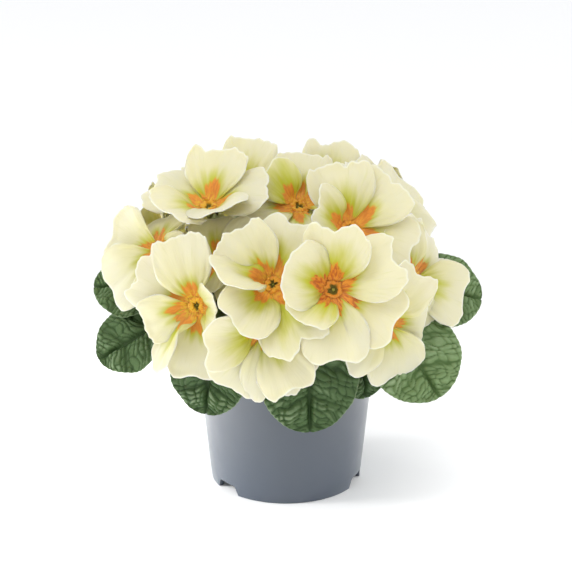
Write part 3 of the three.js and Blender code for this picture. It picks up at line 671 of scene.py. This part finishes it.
def bloomAxes(face):
    # a bloom's own right, up and facing ways
    facing, up = heading(face[0], face[1]), heading(face[0], face[1] + 90)
    return np.stack([np.cross(up, facing), up, facing])


def petalLaps(petals):
    # +1 where a petal's side lies over its neighbour, -1 where it lies under
    turned = sorted(petals, key=lambda petal: petal[0] % 360)
    laps = {}
    for i, petal in enumerate(turned):
        before, after = turned[i - 1], turned[(i + 1) % len(turned)]
        overBefore, overAfter = float(np.sign(petal[1] - before[1])), float(np.sign(petal[1] - after[1]))
        laps[petal[0]] = (overBefore or -1, overAfter or 1)
    return laps


def petalSurface(bloom, petal, size, bend, q, u, claw, softness=None, ruffle=0.0, notch=0.0):
    # q runs across the petal from -1 to 1 and u from its claw to its tip
    s = bloomShape
    at, face, reach, width = bloom[:4]
    laps = petalLaps(bloom[5])[petal[0]]
    twist, share = (tuple(petal[2:]) + (0, 1)[len(petal) - 2:])  # 0 and 1 where the table leaves them out
    length = reach * share * size
    long = length - s["start"]
    angle = q * np.pi / 2
    tip = s["side"] + (1 - s["side"]) * np.maximum(np.cos(angle), 0) ** s["roundness"]
    tip = tip - s["notch"] * np.exp(-(q / s["notchWidth"]) ** 2) - notch
    spread = claw + (1 - claw) * np.sin(u * np.pi / 2) ** 1.1
    x = u * tip * long
    y = flatY = width * length * spread * np.sin(angle)
    side = np.abs(np.sin(angle))
    edge = s["lap"] * np.where(q > 0, laps[1], laps[0]) * side + s["spoon"] * side ** 2
    z = edge * np.minimum(1, 3 * u) - s["curl"] * (x / long) ** 2 + s["swell"] * np.sin(u * np.pi) + ruffle
    twisted = np.radians(twist) * smoothStep(u, 0, 0.45)
    y, z = y * np.cos(twisted) - z * np.sin(twisted), y * np.sin(twisted) + z * np.cos(twisted)
    lift = np.radians(petal[1] + bend)
    if softness:
        # the foot of the petal leaves the eye level, then bends up smoothly
        bent = np.minimum(x, softness)
        angles = lift * smoothStep(np.linspace(0, 1, 17)[:, None] * bent, -0.2 * softness, softness)
        run, rise = np.cos(angles).mean(0) * bent, np.sin(angles).mean(0) * bent
        beyond = np.maximum(x - softness, 0)
        here = lift * smoothStep(x, -0.2 * softness, softness)
        out = run + beyond * np.cos(lift) - z * np.sin(here) + s["start"]
        up = rise + beyond * np.sin(lift) + z * np.cos(here)
    else:
        out = x * np.cos(lift) - z * np.sin(lift) + s["start"]
        up = x * np.sin(lift) + z * np.cos(lift)
    turn = np.radians(petal[0])
    flat = np.stack([out * np.cos(turn) - y * np.sin(turn), out * np.sin(turn) + y * np.cos(turn), up], -1)
    fromEye = np.hypot(x + s["start"], flatY)
    across = np.arctan2(flatY, x + s["start"]) / np.radians(fifth / 2)
    return np.array(at) + flat @ bloomAxes(face), fromEye, across


def petalFit(tree, bloom, petal):
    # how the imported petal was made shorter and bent, found from five points of its tip
    s = bloomShape
    q, u = np.array([-1, -0.5, 0, 0.5, 1]), np.ones(5)
    more = range(s["bendStep"], s["bendMost"] + 1, s["bendStep"])
    bends = [0] + [way * bend for bend in more for way in (1, -1)]
    options = list(itertools.product(s["sizes"], bends))

    def tried(option):
        return petalSurface(bloom, petal, *option, q, u, s["packedClaw"])[0]
    return closestFit(tree, options, tried, s["packedThickness"] / 2)


def makeEye(bloom, number):
    # the tube, its raised rim and the throat in one turned piece, and the stigma as a separate bead
    s = bloomShape
    wide = eyeTable.get(number, eyeTable[0])[0]
    eye = turnedPiece(f"eye_{number}", s["tubeProfile"], s["eyeSides"])
    points = pointsOf(eye) / millimetre
    radius, turn = np.hypot(points[:, 0], points[:, 1]), np.arctan2(points[:, 1], points[:, 0])
    rim = np.exp(-((radius - s["lipRadius"]) / s["lipWidth"]) ** 2) * (points[:, 2] > -1)
    folds = np.cos(5 * (turn - math.radians(bloom[5][0][0])))
    lumps = np.array([noise.noise(Vector((x * 0.9, y * 0.9, number))) for x, y, _ in points])
    points[:, 2] += rim * (s["lipFolds"] * folds + s["lipLumps"] * lumps)
    points[:, :2] *= (1 - 0.06 * rim * folds)[:, None]
    points[:, :2] *= (1 + (wide - 1 + 0.9 * lumps) * smoothStep(3.4 - radius, 0, 1.2))[:, None]
    deep = points[:, 2]
    inside = (radius < 2.6) & (deep > -3.5) & (pointsOf(eye, "normal")[:, 2] > -0.2)
    # painted shade: the throat's dark olive is laid on more fully the deeper a point lies in the hole
    setAttributes(
        eye, fromEye=radius, tube=smoothStep(-deep, 0.3, 2.2) * ~inside,
        across=np.abs(np.mod(turn / math.radians(fifth) + number * 0.3, 1) - 0.5) * 2,
        deep=np.clip(np.where(inside & (radius < 2.2), 0.4 - deep, 0), 0, 2.5) / 2.5)
    placePoints(eye, np.array(bloom[0]) + points @ bloomAxes(bloom[1]))
    deselect()
    bpy.ops.mesh.primitive_uv_sphere_add(segments=16, ring_count=10, radius=1)
    bead = bpy.context.object
    knob = pointsOf(bead) * np.array(s["stigmaSize"]) * wide + np.array([0, 0, -1.0])
    placePoints(bead, np.array(bloom[0]) + knob @ bloomAxes(bloom[1]))
    setAttributes(bead, fromEye=0, across=0, stigma=1)
    return [eye, bead]


def makePetal(number, bloom, petal, tree, dice):
    s = bloomShape
    size, bend = petalFit(tree, bloom, petal)
    sheet, q, u = gridSheet(f"petal_{number}", s["across"], s["along"])
    q, u = q * 0.999, 1 - (1 - u) ** 1.3  # no two points meet at the ends, and more rows go to the tip
    seed, rough = dice.uniform(0, 50), dice.uniform(*s["roughness"])
    folded = len(petal) > 2 and petal[2] != 0
    nick = [dice.uniform(-0.6, 0.6), dice.uniform(*s["nickDepth"]), dice.uniform(*s["nickWidth"])]
    # an uneven, nicked outline; a folded petal has a smoother, fuller tip
    notch = nick[1] * np.exp(-((q - nick[0]) / nick[2]) ** 2)
    notch = notch + 0.026 * np.sin(q * 8 + seed) + 0.014 * np.abs(np.sin(q * 10 + 2 * seed))
    notch = notch + 0.008 * np.sin(q * 27)
    fuller = s["foldedTip"] * np.exp(-(q / 0.3) ** 2) if folded else 0
    notch = notch * (0.15 if folded else rough) - fuller
    notch = notch + shortPetals.get((number, petal[0]), 0)
    # the edge is ruffled, the middle waved and creased along its length
    rim = smoothStep(u, 0.4, 1)
    ruffle = rim * (s["ruffle"] * np.sin(q * 4.2 + seed) + s["frill"] * np.sin(q * 10 + 3 * seed))
    ruffle = ruffle + s["wave"] * np.sin(u * 6 + q * 3 + seed) * np.sin(np.pi * u)
    ruffle = ruffle + s["ripple"] * np.sin(q * 17 + seed) * np.sin(np.pi * u) ** 0.5
    ruffle = ruffle - s["crease"] * np.exp(-(q / 0.1) ** 2) * np.sin(np.pi * u) ** 0.8
    curl = dice.uniform(*s["tipCurl"]) * smoothStep(u, 0.8, 1) ** 2
    ruffle = ruffle + curl * (0.4 + 0.6 * np.abs(np.sin(q * 2 + seed)))
    points, fromEye, across = petalSurface(
        bloom, petal, size, bend, q, u, s["claw"], s["bend"], ruffle, notch)
    placePoints(sheet, points)
    raised = min(max((petal[1] + bend - 22) / 35, 0), 1)
    paleSides = smoothStep(np.abs(q), 0.96, 1) * smoothStep(u, 0.5, 0.75)
    # the yellow-green reaches further on raised petals, and far on the listed petals, where it is painted
    # shade
    setAttributes(
        sheet, fromEye=fromEye, across=across, petalSeed=seed,
        haloReach=shadedYellowPetals.get((number, petal[0]), 7 + 8 * raised),
        rim=np.clip(smoothStep(u, 0.955, 1) + paleSides, 0, 1))
    count = len(sheet.data.vertices)
    applyModifier(sheet, "SOLIDIFY", thickness=s["thickness"] * millimetre, offset=0)
    setAttributes(sheet, back=(np.arange(len(sheet.data.vertices)) < count).astype(float))
    return sheet


def makeBloom(number, bloom, material):
    name = f"bloom_{number:02d}"
    tree = nodeTree(name)
    dice = random.Random(number)
    golden, rusty = eyeTable.get(number, eyeTable[0])[1:]
    parts = makeEye(bloom, number) + [makePetal(number, bloom, petal, tree, dice) for petal in bloom[5]]
    extras = ("stigma", "petalSeed", "haloReach", "rim", "back", "deep", "tube")
    for part in parts:
        missing = {extra: 0 for extra in extras if extra not in part.data.attributes}
        setAttributes(part, starReach=bloom[4], golden=golden, rusty=rusty, **missing)
    flower = joinPieces(f"primrose_{number:02d}", parts[::-1])
    finishPiece(flower, name, material)


def makeStarGroup():
    # the eye's irregular star: how orange, rusty, golden and yellow a place on a petal is
    group, entry = newGroup("star", ("FromEye", "Across", "Seed", "Reach", "HaloAndShadeReach", "Spiky"),
                            ("Star", "Rust", "Gold", "HaloAndShade", "Veins"))
    across, away = entry["Across"], entry["FromEye"]

    def streaks(fine, along, detail):
        # noise drawn out from the eye; the first number is how fine it is across, the second along
        stretched = {0: calc(group, "MULTIPLY", across, fine), 1: calc(group, "MULTIPLY", away, along)}
        place = addNode(group, "ShaderNodeCombineXYZ", {**stretched, 2: entry["Seed"]})
        sockets = {"Vector": place.outputs[0], "Scale": 1.0, "Detail": detail}
        return addNode(group, "ShaderNodeTexNoise", sockets).outputs["Fac"]

    def centred(value, amount):
        return calc(group, "MULTIPLY", calc(group, "SUBTRACT", value, 0.5), amount)
    # a broad blunt lobe on each petal, notched and frayed
    leaning = calc(group, "ADD", across, centred(streaks(0.8, 0.0, 0.0), 0.5))
    lobe = eased(group, calc(group, "ABSOLUTE", leaning), 0.85, 0.2)
    notched = calc(group, "ADD", 0.54, centred(streaks(3.0, 0.02, 1.0), 0.9))
    share = calc(group, "ADD", calc(group, "MULTIPLY", lobe, 0.42), notched)
    edge = calc(group, "MULTIPLY", share, entry["Reach"])
    inside = calc(group, "SUBTRACT", edge, away)
    spiky = calc(group, "ADD", entry["Spiky"], 0.15)
    fray = calc(group, "MULTIPLY", centred(streaks(9.0, 0.22, 2.0), 7.0), spiky)
    star = eased(group, calc(group, "ADD", inside, fray), -0.8, 1.2)
    rust = eased(group, streaks(6.0, 0.35, 2.0), 0.42, 0.62)
    rust = calc(group, "MULTIPLY", rust, eased(group, away, 1.5, 4.5))
    # golden flecks near the eye, and a golden lip round the throat
    flecks = eased(group, streaks(4.5, 0.8, 2.0), 0.42, 0.58)
    flecks = calc(group, "MULTIPLY", flecks, eased(group, away, 8.0, 3.8))
    gold = calc(group, "ADD", flecks, eased(group, away, 3.1, 2.2, 0.0, 0.7), clamp=True)
    # the yellow-green fades out from the star's edge: its own halo near the star, and painted shade where a
    # petal's reach is long
    beyond = calc(group, "DIVIDE", calc(group, "SUBTRACT", away, calc(group, "MULTIPLY", edge, 0.85)),
                  calc(group, "MAXIMUM", entry["HaloAndShadeReach"], 0.1))
    halo = eased(group, calc(group, "ADD", beyond, centred(streaks(4.0, 0.08, 2.0), 0.7)), 1.0, 0.0)
    addNode(group, "NodeGroupOutput", {"Star": star, "Rust": rust, "Gold": gold, "HaloAndShade": halo,
                                       "Veins": streaks(20.0, 0.12, 2.0)})
    return group


def makePetalMaterial():
    s = bloomShape
    material, tree, shader = newMaterial(
        "petalSkin", Roughness=0.5, IOR=1.38, Subsurface_Weight=0.35, Subsurface_Scale=2.0 * millimetre,
        Subsurface_Radius=(1.0, 0.85, 0.3), Sheen_Weight=0.1, Sheen_Roughness=0.5)
    sockets = {socket: attribute(tree, name) for socket, name in (
        ("FromEye", "fromEye"), ("Across", "across"), ("Seed", "petalSeed"), ("Reach", "starReach"),
        ("HaloAndShadeReach", "haloReach"), ("Spiky", "rusty"))}
    star = addNode(tree, "ShaderNodeGroup", sockets, node_tree=makeStarGroup()).outputs
    back = attribute(tree, "back")
    front = calc(tree, "SUBTRACT", 1.0, back)
    starMask = calc(tree, "MULTIPLY", star["Star"], front)
    haloAndShadeMask = calc(tree, "ADD", calc(tree, "MULTIPLY", front, 0.65), 0.33)
    haloAndShadeMask = calc(tree, "MULTIPLY", star["HaloAndShade"], haloAndShadeMask)
    rust = calc(tree, "MULTIPLY", star["Rust"], attribute(tree, "rusty"))
    gold = calc(tree, "MULTIPLY", star["Gold"], attribute(tree, "golden"))
    colour = blended(tree, eased(tree, attribute(tree, "fromEye"), 11.0, 24.0), s["cream"], s["ivory"])
    # each colour lies over those before it
    for mask, over in (
            (calc(tree, "MULTIPLY", back, 0.35), "back"), (haloAndShadeMask, "halo"),
            (calc(tree, "MULTIPLY", eased(tree, star["Veins"], 0.55, 0.8), 0.14), "halo"),
            (calc(tree, "MULTIPLY", attribute(tree, "rim"), 0.75), "rimWhite"), (starMask, "orange"),
            (calc(tree, "MULTIPLY", rust, starMask), "rust"),
            (calc(tree, "MULTIPLY", gold, starMask), "gold"),
            # the throat's olive with painted shade, fuller deeper in the hole
            (attribute(tree, "tube"), "tube"), (eased(tree, attribute(tree, "deep"), 0.06, 0.5), "shadedThroat"),
            (attribute(tree, "stigma"), "stigma")):
        colour = blended(tree, mask, colour, s[over])
    tree.links.new(colour, shader.inputs["Base Color"])
    bumped(tree, shader, star["Veins"], 0.3, 0.3)
    return material


petalMaterial = makePetalMaterial()
for number, bloom in enumerate(bloomTable, 1):
    makeBloom(number, bloom, petalMaterial)
print("blooms made")


# the stalks: each a downy stem that bends up to its bloom and ends in a pleated calyx
stalkShape = {
    "radius": 1.15, "sides": 20, "along": 34, "baseBehind": 17,
    "rootDepth": 6, "rootSpacing": 3.9, "rootSpread": 0.1, "rounds": 80,
    "calyxFoot": 16.6, "calyxMouth": 5, "toothLength": 4.2, "calyxSides": 50, "calyxRows": 14,
    "cupSwell": 2.25, "pleat": 0.42, "calyxWall": 0.3, "hairs": 150, "hairLength": 0.9, "hairWidth": 0.07,
    "hairLean": 0.4, "hairSizes": (0.6, 1.1), "hairSink": 0.05,
    "climbs": (0.45, 0.6, 0.75, 0.9), "runs": (0.35, 0.5, 0.2, 0.1), "sways": (0, 4, -4, 8, -8),
    "patchSize": 6, "skinSize": 0.5,
    "colour": (0.42, 0.46, 0.2, 1), "calyx": (0.5, 0.55, 0.26, 1), "low": (0.34, 0.3, 0.14, 1),
}


def stalkRoots():
    # where the stalks leave the soil: under their blooms, pushed apart
    s = stalkShape
    roots = [np.array(bloom[0][:2], float) * s["rootSpread"] for bloom in bloomTable]
    for _ in range(s["rounds"]):
        for i, j in itertools.combinations(range(len(roots)), 2):
            apart = roots[j] - roots[i]
            distance = float(np.hypot(*apart))
            if distance < s["rootSpacing"]:
                push = apart / (distance or 1) * (s["rootSpacing"] - distance) / 2
                roots[i] = roots[i] - push
                roots[j] = roots[j] + push
    return roots


def stalkCurve(bloom, root, climb, run, sway, share):
    # a smooth curve of four points from the soil to behind the bloom
    facing = heading(*bloom[1])
    base = np.array(bloom[0]) - facing * stalkShape["baseBehind"]
    foot = np.array([root[0], root[1], soilTop + soilShape["crown"] + soilShape["lump"]])
    rise = np.linalg.norm(base - foot)
    aside = np.array([-facing[1], facing[0], 0])
    aside = aside / (np.linalg.norm(aside) or 1) * sway
    above = np.array([root[0], root[1], foot[2] + rise * climb])
    behind = base - facing * rise * run + aside
    t = np.asarray(share)[:, None]
    return (1 - t) ** 3 * foot + 3 * (1 - t) ** 2 * t * above + 3 * (1 - t) * t * t * behind + t ** 3 * base


def stalkFit(node, bloom, root):
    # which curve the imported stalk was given
    s = stalkShape
    tree = nodeTree(node)

    def miss(option):
        spots = stalkCurve(bloom, root, *option, (0.25, 0.5, 0.75))
        return sum(abs(found[2] - s["radius"]) for spot in spots for found in tree.find_n(spot, 5))
    return min(itertools.product(s["climbs"], s["runs"], s["sways"]), key=miss)


aslant = (0.03, 1, 0.02)  # a way that no stalk runs in, from which the sides of a path are found


def waysAlong(path):
    ahead = np.gradient(path, axis=0)
    return ahead / np.linalg.norm(ahead, axis=1)[:, None]


def wrappedTube(name, path, radii, sides, ripple):
    # a tube round a path, its ends closed
    tube, q, u = gridSheet(name, sides, len(path) - 1)
    ring = np.rint(u * (len(path) - 1)).astype(int)
    ahead = waysAlong(path)
    side = np.cross(ahead, aslant)
    side /= np.linalg.norm(side, axis=1)[:, None]
    up = np.cross(side, ahead)
    turn = q * np.pi
    radius = np.asarray(radii)[ring] * ripple(turn, ring)
    around = side[ring] * (radius * np.cos(turn))[:, None] + up[ring] * (radius * np.sin(turn))[:, None]
    placePoints(tube, path[ring] + around)
    sewSeam(tube)
    return tube


def makeHair():
    # one thin three-sided cone that stands on its wide end
    deselect()
    bpy.ops.mesh.primitive_cone_add(vertices=3, radius1=0.5, radius2=0.05, depth=1, location=(0, 0, 0.5))
    hair = bpy.context.object
    bpy.ops.object.transform_apply(location=True)
    return hair


def hairsOn(path, radii, count, dice, hairShape):
    # short hairs standing out all round a path, each a copy of one hair
    s = stalkShape
    vertices, faces = hairShape
    ahead = waysAlong(path)
    spots, polygons = [], []
    for _ in range(count):
        ring = dice.randrange(len(path) // 6, len(path))
        turn = dice.uniform(0, 2 * math.pi)
        side = np.cross(ahead[ring], aslant)
        side /= np.linalg.norm(side)
        out = side * math.cos(turn) + np.cross(side, ahead[ring]) * math.sin(turn)
        along = ahead[ring] * dice.uniform(-s["hairLean"], s["hairLean"])
        stand = (out + along) / np.linalg.norm(out + along)
        flank = np.cross(stand, ahead[ring])
        flank /= np.linalg.norm(flank)
        third = np.cross(stand, flank)
        length, width = s["hairLength"] * dice.uniform(*s["hairSizes"]), s["hairWidth"]
        base = path[ring] + out * (radii[ring] - s["hairSink"])
        polygons += [[len(spots) + corner for corner in face] for face in faces]
        spots += list(base + vertices[:, :1] * width * flank + vertices[:, 1:2] * width * third
                      + vertices[:, 2:] * length * stand)
    down = newPiece("down", [tuple(spot) for spot in spots], [], polygons)
    placePoints(down, pointsOf(down))
    return down


def makeCalyx(number, bloom):
    # a pleated green cup that ends in five pointed teeth
    s = stalkShape
    cup, q, u = gridSheet(f"calyx_{number}", s["calyxSides"], s["calyxRows"])
    turn = q * np.pi + math.radians(bloom[5][0][0] + fifth / 2)
    tooth = 1 - np.abs(np.mod(turn / (2 * np.pi / 5), 1) - 0.5) * 2
    reach = s["calyxFoot"] - s["calyxMouth"] + s["toothLength"] * (tooth ** 1.5)
    swell = s["radius"] + s["cupSwell"] * smoothStep(u, 0, 0.16) + 0.6 * u
    pleat = s["pleat"] * (np.abs(tooth * 2 - 1) ** 2 - 0.4) * smoothStep(u, 0.03, 0.3)
    radius = swell + pleat - 0.35 * smoothStep(u, 0.8, 1)
    distance = s["calyxFoot"] - u * reach
    flat = np.stack([radius * np.cos(turn), radius * np.sin(turn), -distance], -1)
    placePoints(cup, np.array(bloom[0]) + flat @ bloomAxes(bloom[1]))
    sewSeam(cup)
    applyModifier(cup, "SOLIDIFY", thickness=s["calyxWall"] * millimetre, offset=-1)
    setAttributes(cup, calyx=1)
    return cup


def makeStalkMaterial():
    s = stalkShape
    material, tree, shader = newMaterial("downyStalk", Roughness=0.55, Subsurface_Weight=0.15,
                                         Subsurface_Scale=1.0 * millimetre, Sheen_Weight=0.3)
    colour = blended(tree, attribute(tree, "calyx"), s["colour"], s["calyx"])
    patches = calc(tree, "MULTIPLY", mottle(tree, s["patchSize"], 3.0, 1.5)["Value"], 0.4)
    colour = blended(tree, patches, colour, s["low"])
    tree.links.new(colour, shader.inputs["Base Color"])
    bumped(tree, shader, mottle(tree, s["skinSize"], 2.0)["Height"], 0.2, 0.15)
    return material


def makeStalk(number, bloom, root, hairShape, material):
    s = stalkShape
    name = f"stalk_{number:02d}"
    curve = stalkCurve(bloom, root, *stalkFit(name, bloom, root), np.linspace(0, 1, s["along"]))
    foot = np.array([[root[0], root[1], soilTop - s["rootDepth"]], [root[0], root[1], curve[0][2] - 2]])
    path = np.vstack([foot, curve])
    radii = np.full(len(path), s["radius"])
    radii[-3:] = s["radius"] + 0.15
    # both ends are drawn in to a point, so that they close
    ends = np.vstack([path[:1], path, path[-1:]])
    ends[0] -= [0, 0, 0.01]
    ends[-1] += (path[-1] - path[-2]) * 0.02
    tube = wrappedTube(f"stem_{number}", ends, np.concatenate([[0], radii, [0]]), s["sides"],
                       lambda turn, ring: 1 + 0.05 * np.cos(4 * turn + 0.15 * ring))
    setAttributes(tube, calyx=0)
    down = hairsOn(path, radii, s["hairs"], random.Random(100 + number), hairShape)
    setAttributes(down, calyx=0.6)
    stem = joinPieces(f"flowerStalk_{number:02d}", [tube, makeCalyx(number, bloom), down])
    finishPiece(stem, name, material)


stalkMaterial = makeStalkMaterial()
hairMaster = makeHair()
hairShape = (pointsOf(hairMaster), [list(polygon.vertices) for polygon in hairMaster.data.polygons])
bpy.data.objects.remove(hairMaster)
for number, (bloom, root) in enumerate(zip(bloomTable, stalkRoots()), 1):
    makeStalk(number, bloom, root, hairShape, stalkMaterial)
print("stalks made")


# the floor, camera and lights, in metres
studio = {
    "floorSize": 6.0, "floorDrop": 0.0002, "floorColour": (0.93, 0.93, 0.935, 1), "floorRoughness": 0.8,
    "worldColour": (0.98, 0.99, 1.0, 1), "worldStrength": 1.0,
    "cameraBack": 0.906, "cameraHeight": 0.423, "cameraTilt": 69.44, "lens": 149.2, "sensor": 36.0,
    "lights": (  # name, place, point it faces, width, height, power, how wide its beam opens
        ("topSoftbox", (-0.35, -0.5, 1.0), (0, 0, 0.08), 0.45, 0.45, 2.3, 180),
        ("leftWash", (-0.4, -0.02, 0.12), (-0.15, 0, 0), 0.3, 0.05, 0.33, 26),
        ("rightWash", (0.4, -0.02, 0.12), (0.15, 0, 0), 0.3, 0.05, 0.12, 26),
        ("leftStrip", (-0.7, 0.36, 0.1), (0, 0, 0.03), 0.18, 0.4, 1.6, 180),
        ("rightStrip", (0.8, 0.4, 0.12), (0, 0, 0.03), 0.2, 0.4, 1.0, 180),
        ("frontFill", (0.1, -1.2, 0.3), (0, 0, 0.09), 0.7, 0.5, 1.1, 180)),
}


def makeFloor():
    s = studio
    deselect()
    bpy.ops.mesh.primitive_plane_add(size=s["floorSize"], location=(0, 0, -s["floorDrop"]))
    floor = bpy.context.object
    floor.name = "studioFloor"
    floor.data.materials.append(
        newMaterial("studioFloor", Base_Color=s["floorColour"], Roughness=s["floorRoughness"])[0])


def makeWorld():
    world = bpy.data.worlds.new("studioWorld")
    world.use_nodes = True
    background = world.node_tree.nodes["Background"]
    background.inputs["Color"].default_value = studio["worldColour"]
    background.inputs["Strength"].default_value = studio["worldStrength"]
    bpy.context.scene.world = world


def makeLight(name, place, target, width, height, power, beam):
    deselect()
    bpy.ops.object.light_add(type="AREA", location=place)
    light = bpy.context.object
    light.name = light.data.name = name
    light.data.shape = "RECTANGLE"
    light.data.size, light.data.size_y, light.data.energy = width, height, power
    light.data.spread = math.radians(beam)
    light.rotation_euler = (Vector(target) - Vector(place)).to_track_quat("-Z", "Y").to_euler()


def makeCamera():
    s = studio
    deselect()
    bpy.ops.object.camera_add(location=(potAxis.x, potAxis.y - s["cameraBack"], s["cameraHeight"]),
                              rotation=(math.radians(s["cameraTilt"]), 0, 0))
    camera = bpy.context.object
    camera.data.lens, camera.data.sensor_width, camera.data.dof.use_dof = s["lens"], s["sensor"], False
    bpy.context.scene.camera = camera
    bpy.context.scene.view_settings.view_transform = "Standard"


makeFloor()
makeWorld()
for light in studio["lights"]:
    makeLight(*light)
makeCamera()
print("studio made")
